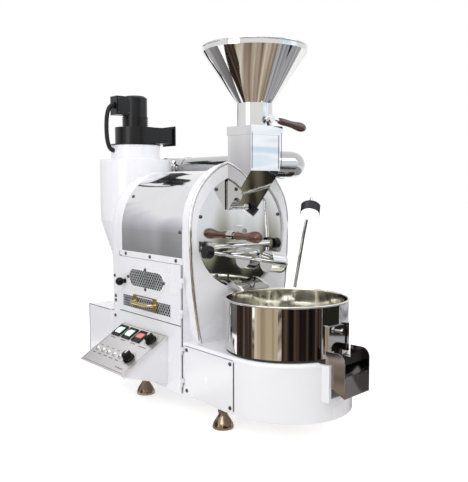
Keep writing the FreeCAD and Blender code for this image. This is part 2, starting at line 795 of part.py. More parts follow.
feed_back = d.shell_front
feed_outer = pad("YZ_Plane", -d.feed_half_width, 2 * d.feed_half_width, feed_outline(0, feed_back))
feed_inner = pad("YZ_Plane", -d.feed_half_width + d.thin_steel, 2 * d.feed_half_width - 2 * d.thin_steel,
                 feed_outline(d.thin_steel, feed_back - d.thin_steel))
mouth_outer = box(-38, feed_back - 1, d.feed_mouth_low + 0, 38, face_front, d.feed_mouth_low + 68)
mouth_inner = box(-34, feed_back - 6, d.feed_mouth_low + 5, 34, face_front + 1, d.feed_mouth_low + 64)
collar_low = d.feed_top
neck_low = collar_low + d.collar_height
collar_block = box(-d.collar_half_width, d.feed_y - d.collar_half_depth, collar_low,
                   d.collar_half_width, d.feed_y + d.collar_half_depth, neck_low)
feed_bore = rod(d.neck_radius - d.thin_steel - 2, d.collar_height + 20, 0, d.feed_y, collar_low - 8)
duct_hole = rod(d.duct_radius - d.thin_steel, 30, d.feed_half_width - 15, d.duct_y, d.duct_z, "x")
node("feed_box", cut(fuse(cut(feed_outer, feed_inner), mouth_outer, collar_block),
                     mouth_inner, feed_bore, duct_hole))

neck_top = neck_low + d.neck_height
hopper_top = neck_top + d.hopper_height
rim_top = hopper_top + d.rim_height
inner_neck = d.neck_radius - d.thin_steel
hopper_shell = revolve([(d.neck_radius, 0), (d.neck_radius, d.neck_height),
                        (d.hopper_radius, d.neck_height + d.hopper_height),
                        (d.hopper_radius, rim_top - neck_low),
                        (d.hopper_radius - d.thin_steel, rim_top - neck_low),
                        (d.hopper_radius - d.thin_steel, d.neck_height + d.hopper_height + 0.6),
                        (inner_neck, d.neck_height + 0.6), (inner_neck, 0)], 0, d.feed_y, neck_low)
hopper_rim = ring(d.hopper_radius - 0.3, 2.2, 0, d.feed_y, rim_top)
valve_z = neck_low + d.valve_height
valve_bore = rod(d.hinge_pin_radius + d.turn_gap, 2 * d.neck_radius + 20, 0, d.feed_y - d.neck_radius - 10,
                 valve_z, "y")
node("hopper", cut(fuse(hopper_shell, hopper_rim), valve_bore))

valve_disc = rod(inner_neck - 0.5, 2, 0, d.feed_y, valve_z - 1)
valve_shaft = rod(d.hinge_pin_radius, d.feed_y + d.neck_radius + 6 - d.lever_plane, 0, d.lever_plane, valve_z,
                  "y")
lever_hub = rod(9, 9, 0, d.lever_plane - 4, valve_z, "y")
lever_washer = rod(7, 6, 0, d.lever_plane + 5, valve_z, "y")
lever_tilt = 9.3


def lever_point(distance):
    angle = math.radians(lever_tilt)
    return (distance * math.cos(angle), num(d.lever_plane), num(valve_z) - distance * math.sin(angle))


grip_start = 24
lever_rod = solid("lever", link(lever_point(0), lever_point(grip_start + 8), num(d.lever_rod_radius)))
node("feed_gate", fuse(valve_disc, valve_shaft, lever_hub, lever_washer, lever_rod))


def turned_grip(start, way, length, radius, waist, bore):
    """A turned wooden grip: a flared foot, a waist and a full rounded end."""
    profile = [(0.0, bore), (0.0, radius * 0.62), (length * 0.08, radius * 0.72), (length * 0.3, waist),
               (length * 0.55, radius * 0.8), (length * 0.78, radius), (length * 0.93, radius
                                                                        * 0.8), (length, radius * 0.35)]
    curve = Part.BSplineCurve()
    curve.interpolate([Vector(r, 0, z) for z, r in profile[1:]])
    depth = min(12.0, length / 3)
    edges = [Part.makeLine(Vector(bore, 0, 0), Vector(profile[1][1], 0, 0)), curve.toShape(),
             Part.makeLine(Vector(profile[-1][1], 0, length), Vector(0, 0, length)),
             Part.makeLine(Vector(0, 0, length), Vector(0, 0, depth)),
             Part.makeLine(Vector(0, 0, depth), Vector(bore, 0, depth)),
             Part.makeLine(Vector(bore, 0, depth), Vector(bore, 0, 0))]
    grip = Part.Face(Part.Wire(edges)).revolve(Vector(), Vector(0, 0, 1), 360)
    grip.Placement = Placement(Vector(*start), Rotation(Vector(0, 0, 1), Vector(*way)))
    return grip


lever_way = (math.cos(math.radians(lever_tilt)), 0, -math.sin(math.radians(lever_tilt)))
node("feed_grip", solid("grip", turned_grip(lever_point(grip_start), lever_way, num(d.grip_length),
                                            num(d.grip_radius), num(d.grip_radius) * 0.72,
                                            num(d.lever_rod_radius))))

# Exhaust duct, cyclone and blower

duct_start = num(d.feed_half_width)
duct_turn_y = num(d.duct_y)
cyclone_reach = num(d.cyclone_radius) - 8
duct_path = route([(duct_start, duct_turn_y, num(d.duct_z)), (num(d.duct_x), duct_turn_y, num(d.duct_z)),
                   (num(d.duct_x), num(d.cyclone_y), num(d.duct_z)), (cyclone_reach, num(d.cyclone_y),
                                                                      num(d.duct_z))],
                  [num(d.duct_bend)] * 2)
duct_pipe = solid("duct", hollow_pipe(duct_path, num(d.duct_radius), num(d.duct_radius - d.thin_steel)))
band_places = (d.duct_y + d.duct_bend + 20, d.cyclone_y - d.duct_bend - 30)
bands = [tube(d.duct_radius + 2, d.duct_radius - 0.5, 12, d.duct_x, y, d.duct_z, "y") for y in band_places]
cyclone_keep = rod(d.cyclone_radius, 200, 0, d.cyclone_y, d.duct_z - 100)
node("exhaust_duct", cut(fuse(duct_pipe, *bands), cyclone_keep))

cyclone_foot = d.rear_box_top
skin = d.sheet_steel
cyclone_shell = revolve([
    (d.cone_foot_radius, 0), (d.cyclone_radius, d.cone_top - cyclone_foot),
    (d.cyclone_radius, d.cyclone_top - cyclone_foot), (d.cyclone_collar_radius, d.cyclone_top - cyclone_foot),
    (d.cyclone_collar_radius, d.cyclone_collar_top - cyclone_foot),
    (d.cyclone_collar_radius - skin, d.cyclone_collar_top - cyclone_foot),
    (d.cyclone_collar_radius - skin, d.cyclone_top - cyclone_foot - skin),
    (d.cyclone_radius - skin, d.cyclone_top - cyclone_foot - skin),
    (d.cyclone_radius - skin, d.cone_top - cyclone_foot + 0.5),
    (d.cone_foot_radius - skin, 0)], 0, d.cyclone_y, cyclone_foot)
inlet_hole = rod(d.duct_radius - d.thin_steel, 40, d.cyclone_radius - 30, d.cyclone_y, d.duct_z, "x")
node("cyclone", cut(cyclone_shell, inlet_hole))

scroll_low = d.cyclone_collar_top + 3
scroll_top = scroll_low + d.scroll_height
scroll = rod(d.scroll_radius, d.scroll_height, 0, d.cyclone_y, scroll_low)
scroll_foot = rod(d.cyclone_collar_radius + 2, 3, 0, d.cyclone_y, d.cyclone_collar_top)
outlet_end = d.scroll_radius + 36
outlet_duct = box(0, d.cyclone_y - d.scroll_radius, scroll_low + 3, outlet_end, d.cyclone_y - 8,
                  scroll_top - 1)
outlet_flange = box(outlet_end, d.cyclone_y - d.scroll_radius - 7, scroll_low - 3, outlet_end + 4,
                    d.cyclone_y - 1, scroll_top + 5)
scroll_space = rod(d.scroll_radius - 3, d.scroll_height - 6, 0, d.cyclone_y, scroll_low + 3)
outlet_space = box(0, d.cyclone_y - d.scroll_radius + 3, scroll_low + 6, outlet_end + 5, d.cyclone_y - 11,
                   scroll_top - 4)
eye = rod(30, 20, 0, d.cyclone_y, d.cyclone_collar_top - 5)
blower_bore = rod(d.axle_radius - 3 + d.turn_gap, 20, 0, d.cyclone_y, scroll_top - 8)
node("blower_housing", cut(fuse(scroll, scroll_foot, outlet_duct, outlet_flange), scroll_space, outlet_space,
                           eye, blower_bore))


def bladed_wheel(radius, low, blade_height, blade_count, shaft_radius, shaft_top):
    """A fan wheel on the Z axis: a back disc, straight blades, a hub and its shaft."""
    blades = []
    for turn in range(blade_count):
        blade = box(num(radius) * 0.45, -0.8, low + 1.5, radius, 0.8, low + blade_height)
        holder = group(blade)
        holder.Placement = Placement(Vector(), Rotation(Vector(0, 0, 1), 360 * turn / blade_count))
        blades.append(holder)
    parts = [rod(radius, 2, 0, 0, low), rod(12, blade_height - 2, 0, 0, low),
             rod(shaft_radius, shaft_top - low, 0, 0, low)]
    return fuse(*parts, *blades)


blower_wheel = group(bladed_wheel(d.wheel_radius, scroll_low + 8, 30, 12, d.axle_radius - 3, scroll_top + 12))
seat(blower_wheel, 0, d.cyclone_y, 0)
node("blower_wheel", blower_wheel)

motor_low = scroll_top
motor_can = rod(d.motor_radius, d.motor_height - 6, 0, d.cyclone_y, motor_low)
motor_cap = taper(d.motor_radius, d.motor_radius - 8, 6, 0, d.cyclone_y, motor_low + d.motor_height - 6)
fins = [rod(d.motor_radius + 2.5, 2.5, 0, d.cyclone_y, motor_low + 6 + 5.5 * step) for step in range(5)]
junction = box(-d.motor_radius - 36, d.cyclone_y - 19, motor_low + 34, -d.motor_radius + 12, d.cyclone_y + 19,
               motor_low + d.motor_height - 4)
motor_bore = rod(d.axle_radius - 3 + d.turn_gap, 14, 0, d.cyclone_y, motor_low - 1)
node("blower_motor", cut(fuse(motor_can, motor_cap, *fins, junction), motor_bore))

conduit_x = -num(d.motor_radius) - 36
conduit_out = conduit_x - 24
conduit_y = num(d.cyclone_y)
conduit_top = num(motor_low) + 62
conduit_low = num(d.cyclone_collar_top) - 16
conduit_end = -num(d.cyclone_collar_radius) - 0.1
conduit_path = route([(conduit_x, conduit_y, conduit_top), (conduit_out, conduit_y, conduit_top),
                      (conduit_out, conduit_y, conduit_low), (conduit_end, conduit_y, conduit_low)], [20.0,
                                                                                                      20.0])
glands = [rod(d.conduit_radius + 3, 5, conduit_x - 5, d.cyclone_y, conduit_top, "x")]
node("blower_conduit", fuse(solid("conduit", pipe(conduit_path, num(d.conduit_radius))), *glands))

# Cooling tray with its seal, floor, gate, chute, stirrer and fan

tray_low = d.base_top + d.seal_height
tray_top = tray_low + d.tray_height
tray_skirt = 4.5
node("tray_seal", tube(d.tray_radius - 2, d.tray_radius - 14, d.seal_height, 0, 0, d.base_top))
tray_inner = d.tray_radius - d.thin_steel
tray_shell = revolve([(d.air_opening_radius, 0), (tray_inner, 0), (tray_inner, -tray_skirt),
                      (d.tray_radius, -tray_skirt), (d.tray_radius, d.tray_height), (tray_inner,
                                                                                     d.tray_height),
                      (tray_inner, d.floor_height), (tray_inner - 8, d.floor_height), (tray_inner - 8,
                                                                                       d.floor_height - 2),
                      (tray_inner, d.floor_height - 2), (tray_inner, d.thin_steel), (d.air_opening_radius,
                                                                                     d.thin_steel)],
                     0, 0, tray_low)
tray_rim = ring(d.tray_radius, d.rim_roll, 0, 0, tray_top)
floor_top = tray_low + d.floor_height + d.floor_thickness
outlet_hole = outlet(box(-d.outlet_half_width, -d.tray_radius - 10, floor_top,
                         d.outlet_half_width, -d.tray_radius + 20, floor_top + d.outlet_height))
gate_back = d.tray_radius + 1.2
gate_front = gate_back + d.sheet_steel
rails = []
for side in (-1, 1):
    inner_x = side * (d.gate_half_width - 3.5)
    outer_x = side * (d.gate_half_width + 4)
    low_x, high_x = (outer_x, inner_x) if side < 0 else (inner_x, outer_x)
    rails.append(box(low_x, -gate_front - 3, tray_low + 4, high_x, -d.tray_radius + 8,
                     floor_top + d.outlet_height + 6))
slot = box(-d.gate_half_width - d.flat_gap, -gate_front - d.flat_gap, floor_top - 4,
           d.gate_half_width + d.flat_gap, -gate_back + d.flat_gap, tray_top)
guide = cut(outlet(cut(fuse(*rails), slot)), rod(tray_inner + 0.5, 140, 0, 0, tray_low - 5))
node("cooling_tray", cut(fuse(tray_shell, tray_rim, guide), outlet_hole))

gate_plate = box(-d.gate_half_width, -gate_front, floor_top - 3.5, d.gate_half_width, -gate_back,
                 floor_top + d.outlet_height + 4)
gate_knob = fuse(rod(3, 10, 0, -gate_front - 10, floor_top + d.outlet_height - 8, "y"),
                 rod(6, 5, 0, -gate_front - 14, floor_top + d.outlet_height - 8, "y"))
node("tray_gate", outlet(fuse(gate_plate, gate_knob)))

floor_disc = rod(tray_inner - d.flat_gap, d.floor_thickness, 0, 0, tray_low + d.floor_height)
floor_bore = rod(14, 6, 0, 0, tray_low + d.floor_height - 2)


def floor_holes():
    """Holes on rings round the centre, as evenly spaced as the ring allows."""
    holes = []
    low = num(tray_low) + num(d.floor_height) - 2
    for step in range(7):
        radius = 32 + 15 * step
        count = int(2 * math.pi * radius / 15)
        for place in range(count):
            angle = 2 * math.pi * place / count
            spot = Vector(radius * math.cos(angle), radius * math.sin(angle), low)
            holes.append(Part.makeCylinder(2.4, 6, spot))
    return Part.makeCompound(holes)


node("tray_floor", cut(floor_disc, floor_bore, solid("holes", floor_holes())))


def chute_profile():
    front, back = -d.chute_front, -d.chute_back
    slope = 0.55
    rise = (d.chute_front - d.chute_back) * slope
    step = d.tray_radius + 4.5
    top = d.chute_top
    shelf = d.base_top - 3
    return [(front, d.chute_lip_z), (back, d.chute_lip_z + rise), (back, shelf), (-step, shelf), (-step, top),
            (front + d.chute_round, top), (front, top - d.chute_round, top - d.chute_round, 1)]


chute_outer = pad("YZ_Plane", -d.chute_half_width, 2 * d.chute_half_width, chute_profile())
slope_rise = (d.chute_front - d.chute_back) * 0.55
floor_offset = d.thin_steel * 1.14
chute_inner = pad("YZ_Plane", -d.chute_half_width + d.thin_steel, 2 * d.chute_half_width - 2 * d.thin_steel,
                  [(-d.chute_front - 1, d.chute_lip_z + floor_offset - 0.55),
                   (-d.chute_back - d.thin_steel, d.chute_lip_z + slope_rise + floor_offset - 0.8),
                   (-d.chute_back - d.thin_steel, d.chute_top + 1), (-d.chute_front - 1, d.chute_top + 1)])
node("tray_chute", outlet(cut(chute_outer, chute_inner)))

bracket_outer = box(-bracket_half + 0.3, -bracket_front, bracket_low + 0.3, bracket_half - 0.3,
                    -d.chute_back + 3.7, d.base_top - 3)
bracket_inner = box(-d.chute_half_width - 0.3, -bracket_front - 1, bracket_low + 8,
                    d.chute_half_width + 0.3, -d.chute_back + 0.3, d.base_top)
node("chute_bracket", outlet(cut(bracket_outer, bracket_inner)))

bridge_top = d.base_top - d.sheet_steel
bridge = box(-d.air_opening_radius - 12, -16, bridge_top - 3, d.air_opening_radius + 12, 16, bridge_top)
stirrer_case = box(-26, -26, bridge_top - 55, 26, 26, bridge_top - 1)
stirrer_bore = rod(6 + d.turn_gap, 80, 0, 0, bridge_top - 40)
node("stirrer_motor", cut(fuse(bridge, stirrer_case), stirrer_bore))

stirrer_shaft = rod(6, 92, 0, 0, bridge_top - 30)
stirrer_hub = fuse(rod(18, 22, 0, 0, floor_top + 22), taper(18, 8, 10, 0, 0, floor_top + 44))
arms = []
for turn in range(3):
    reach = d.stirrer_radius
    arm = rod(4, reach, 0, 0, floor_top + 36, "x")
    posts = [rod(3, 34, reach * share, 0, floor_top + 2, "z") for share in (0.42, 0.7, 0.96)]
    blades = [box(reach * share - 13, -1, floor_top + 1.5, reach * share + 13 * (1 if share < 0.9 else 0.2),
                  1, floor_top + 15)
              for share in (0.42, 0.7, 0.96)]
    holder = group(fuse(arm, *posts, *blades))
    holder.Placement = Placement(Vector(), Rotation(Vector(0, 0, 1), 90 + 120 * turn))
    arms.append(holder)
node("stirrer", fuse(stirrer_shaft, stirrer_hub, *arms))

pan_top = d.base_bottom + d.pan_thickness
fan_low = pan_top + 34
node("fan_motor", cut(rod(32, 28, 0, 0, pan_top), rod(4 + d.turn_gap, 20, 0, 0, pan_top + 14)))
fan = fuse(bladed_wheel(d.fan_radius, fan_low, 26, 10, as_size(4), fan_low + 26),
           rod(4, 16, 0, 0, fan_low - 16))
node("cooling_fan", fan)

# Trier: a sampling tube with a wooden grip that draws out of the drum

trier_start = trier_boss_front - 4
probe_length = d.trier_reach + 16
probe = rod(d.trier_radius, probe_length, d.trier_x, trier_start, d.trier_z, "y")
probe_space = rod(d.trier_radius - 1.2, probe_length - 40, d.trier_x, trier_start + 36, d.trier_z, "y")
scoop = box(d.trier_x - 10, face_back + 8, d.trier_z, d.trier_x + 10, trier_start + probe_length - 8,
            d.trier_z + 10)
node("trier_probe", cut(probe, probe_space, scoop))
trier_grip = turned_grip((num(d.trier_x), num(trier_start), num(d.trier_z)), (0, -1, 0),
                         num(d.trier_grip_length),
                         num(d.trier_grip_radius), num(d.trier_grip_radius) * 0.62, 3)
node("trier_grip", solid("grip", trier_grip))

# Bean discharge door with its hinge, cross bar, knob and weight

plate_back = face_front - d.flat_gap
door_plate = box(-d.door_half_width, plate_back - 3, d.door_low, d.door_half_width, plate_back,
                 d.door_hinge_z - 3)
knuckle = rod(d.hinge_pin_radius + 2.5, 2 * d.door_half_width, -d.door_half_width, d.door_hinge_y,
              d.door_hinge_z, "x")
door_pin = rod(d.hinge_pin_radius, 2 * d.door_half_width + 22, -d.door_half_width - 11, d.door_hinge_y,
               d.door_hinge_z, "x")
bar_start = (-124, 130, 405)
bar_end = (48, 117, 374)
neck_block = box(-8, 116, d.door_hinge_z - 8, 8, d.door_hinge_y - 4, d.door_hinge_z + 3)
cross_bar = solid("bar", link(bar_start, bar_end, 4))


def bar_point(distance):
    """A point on the cross bar, measured from its knob end."""
    first, last = Vector(*bar_start), Vector(*bar_end)
    return tuple(first + (last - first).normalize() * distance)


washer = link(bar_point(1), bar_point(6), 14)
knob = link(bar_point(-12), bar_point(1), 16)
bar_hole = link(bar_point(-6), bar_point(8), 4)
node("discharge_knob", solid("knob", knob.fuse(washer).cut(bar_hole)))
weight_start = (Vector(*bar_end) - Vector(*bar_start)).Length - 6
weight_end = weight_start + num(d.weight_length)
weight = link(bar_point(weight_start), bar_point(weight_end - 12), num(d.weight_radius))
weight_cap = Part.makeSphere(num(d.weight_radius), Vector(*bar_point(weight_end - 12)))
weight_cap = weight_cap.common(link(bar_point(weight_end - 12.5), bar_point(weight_end),
                                    num(d.weight_radius) + 2))
node("discharge_door", fuse(door_plate, knuckle, door_pin, neck_block, cross_bar,
                            solid("weight", weight.fuse(weight_cap))))

clamp_start = -bracket_x - 3
clamp_bar = rod(5, 90 + bracket_x, clamp_start, d.clamp_y, d.clamp_z, "x")
clamp_head = fuse(rod(13, 18, 92, d.clamp_y, d.clamp_z, "x"), rod(7, 8, 85, d.clamp_y, d.clamp_z, "x"))
node("clamp_knob", fuse(clamp_bar, clamp_head))

# Side doors with their hinges, screens, handle and latch

door_out = d.half_width + d.door_gap + d.door_depth
door_in = d.half_width + d.door_gap
hinge_gap = 0.4
upper_knuckles = ((316, 340), (244, 264))
lower_knuckles = ((156, 174), (78, 98))


def hinge_leaf(low, top, of_door):
    """Half of a butt hinge: its barrel and the leaf on the door or on the frame."""
    barrel = rod(d.side_hinge_radius, top - low, -d.side_hinge_x, d.cabinet_front, low)
    bore = rod(d.side_hinge_radius - 2, top - low, -d.side_hinge_x, d.cabinet_front, low)
    if of_door:
        leaf = box(-d.side_hinge_x - 0.5, d.cabinet_front + 1, low, -door_in, d.door_front + 8, top)
        return cut(fuse(barrel, leaf), bore)
    leaf = box(-d.side_hinge_x - 0.5, d.cabinet_front - 7, low, -d.side_hinge_x + 1.5, d.cabinet_front - 1,
               top)
    foot_leaf = box(-d.side_hinge_x - 0.5, d.cabinet_front - 7, low, -d.half_width, d.cabinet_front - 5, top)
    pin = rod(d.side_hinge_radius - 2 - d.turn_gap, 2 * (top - low) , -d.side_hinge_x, d.cabinet_front,
              low - (top - low))
    return fuse(cut(fuse(barrel, leaf), bore), foot_leaf, pin,
                rod(d.side_hinge_radius - 1, top - low, -d.side_hinge_x, d.cabinet_front, low))


fixed_leaves = []
door_leaves = {"upper": [], "lower": []}
for which, knuckles in (("upper", upper_knuckles), ("lower", lower_knuckles)):
    for low, top in knuckles:
        middle = (low + top) / 2
        fixed_leaves.append(hinge_leaf(middle + hinge_gap, top, False))
        door_leaves[which].append(hinge_leaf(low, middle, True))
node("side_hinges", group(*fixed_leaves))


def door_pan(low, top):
    outer = box(-door_out, d.door_front, low, -door_in, d.door_back, top)
    inner = box(-door_out + d.door_skin, d.door_front + 6, low + 6, -door_in + 1, d.door_back - 6, top - 6)
    return cut(outer, inner)


def stadium(x, to_x, length, height):
    """A slot with round ends about the window's centre, from one X to another."""
    straight = length - height
    middle = box(x, d.window_y - straight / 2, d.window_z - height / 2, to_x, d.window_y + straight / 2,
                 d.window_z + height / 2)
    ends = [rod(height / 2, as_size(to_x) - x, x, d.window_y + side * straight / 2, d.window_z, "x")
            for side in (-1, 1)]
    return fuse(middle, *ends)


window_open = stadium(-door_out - 5, -door_in + 5, d.window_length, d.window_height)
window_ring = cut(stadium(-door_out - 1.2, -door_out + 0.5, d.window_length + 14, d.window_height + 14),
                  stadium(-door_out - 3, -door_out + 3, d.window_length, d.window_height))
frame_lip = 4
grille_open = box(-door_out - 5, d.grille_front + frame_lip, d.grille_low + frame_lip,
                  -door_in + 5, d.grille_back - frame_lip, d.grille_top - frame_lip)
grille_ring = box(-door_out - 1.2, d.grille_front, d.grille_low, -door_out + 0.5, d.grille_back, d.grille_top)
latch_shank_radius = 3
latch_bore = rod(latch_shank_radius + d.turn_gap, 12, -door_out - 4, d.latch_y, d.latch_z, "x")
node("upper_door", cut(fuse(door_pan(d.upper_door_low, d.upper_door_top), window_ring, grille_ring,
                            *door_leaves["upper"]),
                       window_open, grille_open, latch_bore))

screen_out = door_out - d.door_skin
screen_in = screen_out - 1


def screen_holes(front, back, low, top, radius, pitch, keep):
    """Staggered round holes that lie inside the region the test keeps."""
    holes = []
    row_pitch = pitch * math.sqrt(3) / 2
    for row in range(int((top - low) / row_pitch) + 1):
        z = low + row * row_pitch
        for column in range(int((back - front) / pitch) + 2):
            y = front + (column - 0.5 * (row % 2)) * pitch
            if keep(y, z):
                holes.append(Part.makeCylinder(radius, 6, Vector(-num(screen_out) - 2, y, z),
                                               Vector(1, 0, 0)))
    return holes


def window_keeps(y, z):
    half_height = num(d.window_height) / 2
    straight = num(d.window_length) / 2 - half_height
    reach = max(abs(y - num(d.window_y)) - straight, 0)
    return math.hypot(reach, z - num(d.window_z)) < half_height - 4


def grille_keeps(y, z):
    inset = frame_lip + 4
    return (num(d.grille_front) + inset < y < num(d.grille_back) - inset
            and num(d.grille_low) + inset < z < num(d.grille_top) - inset)


hole, pitch = num(d.screen_hole), num(d.screen_pitch)
half_window = num(d.window_length) / 2
window_holes = screen_holes(num(d.window_y) - half_window, num(d.window_y) + half_window,
                            num(d.window_z) - 3 * pitch * math.sqrt(3) / 2, num(d.window_z) + 22,
                            hole, pitch, window_keeps)
grille_holes = screen_holes(num(d.grille_front), num(d.grille_back), num(d.grille_low) + 9,
                            num(d.grille_top), hole, pitch, grille_keeps)
window_screen = cut(stadium(-screen_out, -screen_in, d.window_length + 9, d.window_height + 9),
                    solid("holes", Part.makeCompound(window_holes)))
grille_screen = cut(box(-screen_out, d.grille_front, d.grille_low + 2, -screen_in, d.grille_back,
                        d.grille_top),
                    solid("holes", Part.makeCompound(grille_holes)))
node("door_screens", group(window_screen, grille_screen))

handle_x = -num(door_out) - 1.2
handle_far = handle_x - num(d.handle_reach)
handle_path = route([(handle_x, num(d.handle_front), num(d.handle_z)),
                     (handle_far, num(d.handle_front), num(d.handle_z)),
                     (handle_far, num(d.handle_back), num(d.handle_z)), (handle_x, num(d.handle_back),
                                                                         num(d.handle_z))],
                    [13.0, 13.0])
handle_bow = solid("bow", pipe(handle_path, num(d.handle_radius)))
handle_feet = [box(handle_x - 2, y - 9, d.handle_z - 17, handle_x, y + 9, d.handle_z + 17)
               for y in (d.handle_front, d.handle_back)]
handle_base = box(handle_x - 1.5, d.handle_front, d.handle_z - 17, handle_x, d.handle_back, d.handle_z - 14.5)
handle_top = box(handle_x - 1.5, d.handle_front, d.handle_z + 14.5, handle_x, d.handle_back, d.handle_z + 17)
node("bow_handle", fuse(handle_bow, *handle_feet, handle_base, handle_top))

latch_face = -door_out - d.flat_gap
latch_shank = 13
latch_ball_at = latch_shank + 17
latch_ball = revolve([(0, 0), (latch_shank_radius, 0), (latch_shank_radius, latch_shank), (6, latch_shank),
                      (6, latch_ball_at - 9.2195),
                      (2, d.latch_radius - 0.18333 + latch_ball_at, latch_ball_at, 1),
                      (0, d.latch_radius - 0.18333 + latch_ball_at)],
                     latch_face + latch_shank, d.latch_y, d.latch_z, along["-x"])
latch_reach = 13
latch_tongue = box(latch_face + 8, d.latch_y - 5, d.latch_z - latch_reach, latch_face + 10.5, d.latch_y + 5,
                   d.latch_z + 5)
node("latch_knob", fuse(latch_ball, latch_tongue))

control_front = d.panel_front + 5
control_back = d.panel_back - 5


plate_drop = d.panel_thickness * 1.25
wedge_outer = pad("XZ_Plane", control_front, d.panel_back - d.panel_front - 10,
                  [(-door_out, d.panel_under_z), (-door_out, d.panel_top_z - plate_drop),
                   (-d.panel_reach + 4, d.panel_low_z), (-d.panel_reach + 10, d.panel_low_z - 6)])
wedge_inner = pad("XZ_Plane", control_front + d.thin_steel,
                  d.panel_back - d.panel_front - 10 - 2 * d.thin_steel,
                  [(-door_out + 1, d.panel_under_z + 2), (-door_out + 1, d.panel_top_z + 30),
                   (-d.panel_reach + 8, d.panel_low_z + 30), (-d.panel_reach + 12, d.panel_low_z - 3)])
node("control_box", cut(wedge_outer, wedge_inner))

lower_pan = door_pan(d.lower_door_low, d.lower_door_top)
wire_passage = box(-door_out - 1, d.panel_front + 60, 100, -door_in, d.panel_back - 60, 140)
node("lower_door", cut(fuse(lower_pan, *door_leaves["lower"]), wire_passage))

# Control plate: u runs forward along the plate from its rear edge, v down its slope

plate_run = num(d.panel_reach - door_out)
plate_fall = num(d.panel_top_z - d.panel_low_z)
plate_slope = math.hypot(plate_run, plate_fall)
slope_angle = math.degrees(math.atan2(plate_fall, plate_run))
plate_top = Vector(-num(door_out), num(d.panel_back), num(d.panel_top_z))


def on_plate(item):
    """Move an object drawn flat (X down the slope, Y forward, Z out) onto the control plate."""
    holder = group(item)
    frame = Rotation(Vector(-math.cos(math.radians(slope_angle)), 0, -math.sin(math.radians(slope_angle))),
                     Vector(0, -1, 0),
                     Vector(-math.sin(math.radians(slope_angle)), 0,
                            math.cos(math.radians(slope_angle))), "ZXY")
    holder.Placement = Placement(plate_top, frame)
    return holder


plate_length = d.panel_back - d.panel_front
sheet_plate = box(2, 0, -d.panel_thickness, plate_slope, plate_length, 0)
lip = box(plate_slope - 1.5, 0, -8, plate_slope, plate_length, -1)
rocker_holes = []
rocker_v = 0.2 * plate_slope + 1
rocker_places = (27, 77, 127)
dial_places = ((0.21 * plate_slope, 0.83 * num(plate_length)), (0.665 * plate_slope, 0.8 * num(plate_length)))
lamp_places = [(0.68 * plate_slope, (0.1 + 0.132 * step) * num(plate_length)) for step in range(5)]
half_rocker = d.rocker_size / 2
bezels = []
for place in rocker_places:
    outer = box(rocker_v - half_rocker, place - half_rocker, 0, rocker_v + half_rocker, place + half_rocker,
                3)
    inner = box(rocker_v - half_rocker + 4, place - half_rocker + 5, -6, rocker_v + half_rocker - 4,
                place + half_rocker - 5, 5)
    shell = box(rocker_v - half_rocker + 2, place - half_rocker + 3, -14, rocker_v + half_rocker - 2,
                place + half_rocker - 3, 0)
    shell_space = box(rocker_v - half_rocker + 4, place - half_rocker + 5, -11, rocker_v + half_rocker - 4,
                      place + half_rocker - 5, 1)
    bezels.append(cut(fuse(outer, shell), fuse(inner, shell_space)))
    rocker_holes.append(box(rocker_v - half_rocker + 2, place - half_rocker + 3, -9,
                            rocker_v + half_rocker - 2, place + half_rocker - 3, 1))
dial_bore = 3.2
dial_holes = [rod(dial_bore, 12, v, u, -6) for v, u in dial_places]
node("control_plate", on_plate(cut(fuse(sheet_plate, lip), *rocker_holes, *dial_holes)))
node("switch_bezels", on_plate(group(*bezels)))

for label, place in zip(("rocker_heat", "rocker_drum", "rocker_cool"), rocker_places):
    width = half_rocker - 5.4
    length = half_rocker - 5.6
    cap = cut(rod(30, 2 * width, 0, -width, -26, "y"), box(-40, -30, -60, 40, 30, -5.5),
              box(length, -30, -60, 50, 30, 20), box(-50, -30, -60, -length, 30, 20))
    pivot = rod(1.5, 2 * width + 0.6, 0, -width - 0.3, -2.4, "y")
    cap_holder = group(fuse(cap, pivot))
    seat(cap_holder, rocker_v, place, -0.6)
    node(label, on_plate(cap_holder))

for label, (v, u) in zip(("dial_upper", "dial_lower"), dial_places):
    skirt = rod(d.dial_radius, 4, v, u, 0.4)
    grip_part = taper(d.dial_radius - 2, d.dial_radius - 4, d.dial_height - 4, v, u, 4)
    pointer = box(v - d.dial_radius + 4.5, u - 1.5, d.dial_height - 1, v, u + 1.5, d.dial_height + 0.8)
    stem = rod(dial_bore - 0.1, 6, v, u, -5)
    node(label, on_plate(fuse(skirt, grip_part, pointer, stem)))

lamps = [fuse(rod(7, 1.5, v, u, 0), rod(5, 4, v, u, 1)) for v, u in lamp_places]
node("indicator_lamps", on_plate(group(*lamps)))

# Work lamp on a formed tube

lamp_path = route([(num(d.lamp_x), num(d.lamp_y), num(d.base_top) + 10), (134, 114, 300), (147, 98, 430),
                   (156, 76, 548), (138, 62, 520)],
                  [300.0, 260.0, 14.0])
lamp_tube = solid("neck", pipe(lamp_path, num(d.lamp_tube_radius)))
lamp_foot = rod(15, 10, d.lamp_x, d.lamp_y, d.base_top)
node("lamp_stand", fuse(lamp_tube, lamp_foot))
head_way = Vector(-18, -14, -28).normalize()
head_start = Vector(138, 62, 520)
head_length = num(d.lamp_head_length)
head_radius = num(d.lamp_head_radius)
head_profile = [(0, 0), (12, 0), (head_radius, 12), (head_radius, head_length),
                (head_radius - 2, head_length),
                (head_radius - 2, head_length - 3), (0, head_length - 3)]
head_points = [Vector(r, 0, z) for r, z in head_profile]
head = Part.Face(Part.makePolygon(head_points + head_points[:1])).revolve(Vector(), Vector(0, 0, 1), 360)
head.Placement = Placement(head_start, Rotation(Vector(0, 0, 1), head_way))
node("lamp_head", solid("head", head))

# Screws: one round head for the faceplate, the cover and the fixed panels


def screw(x, y, z, way):
    return rod(d.screw_head_radius, d.screw_head_height, x, y, z, way)


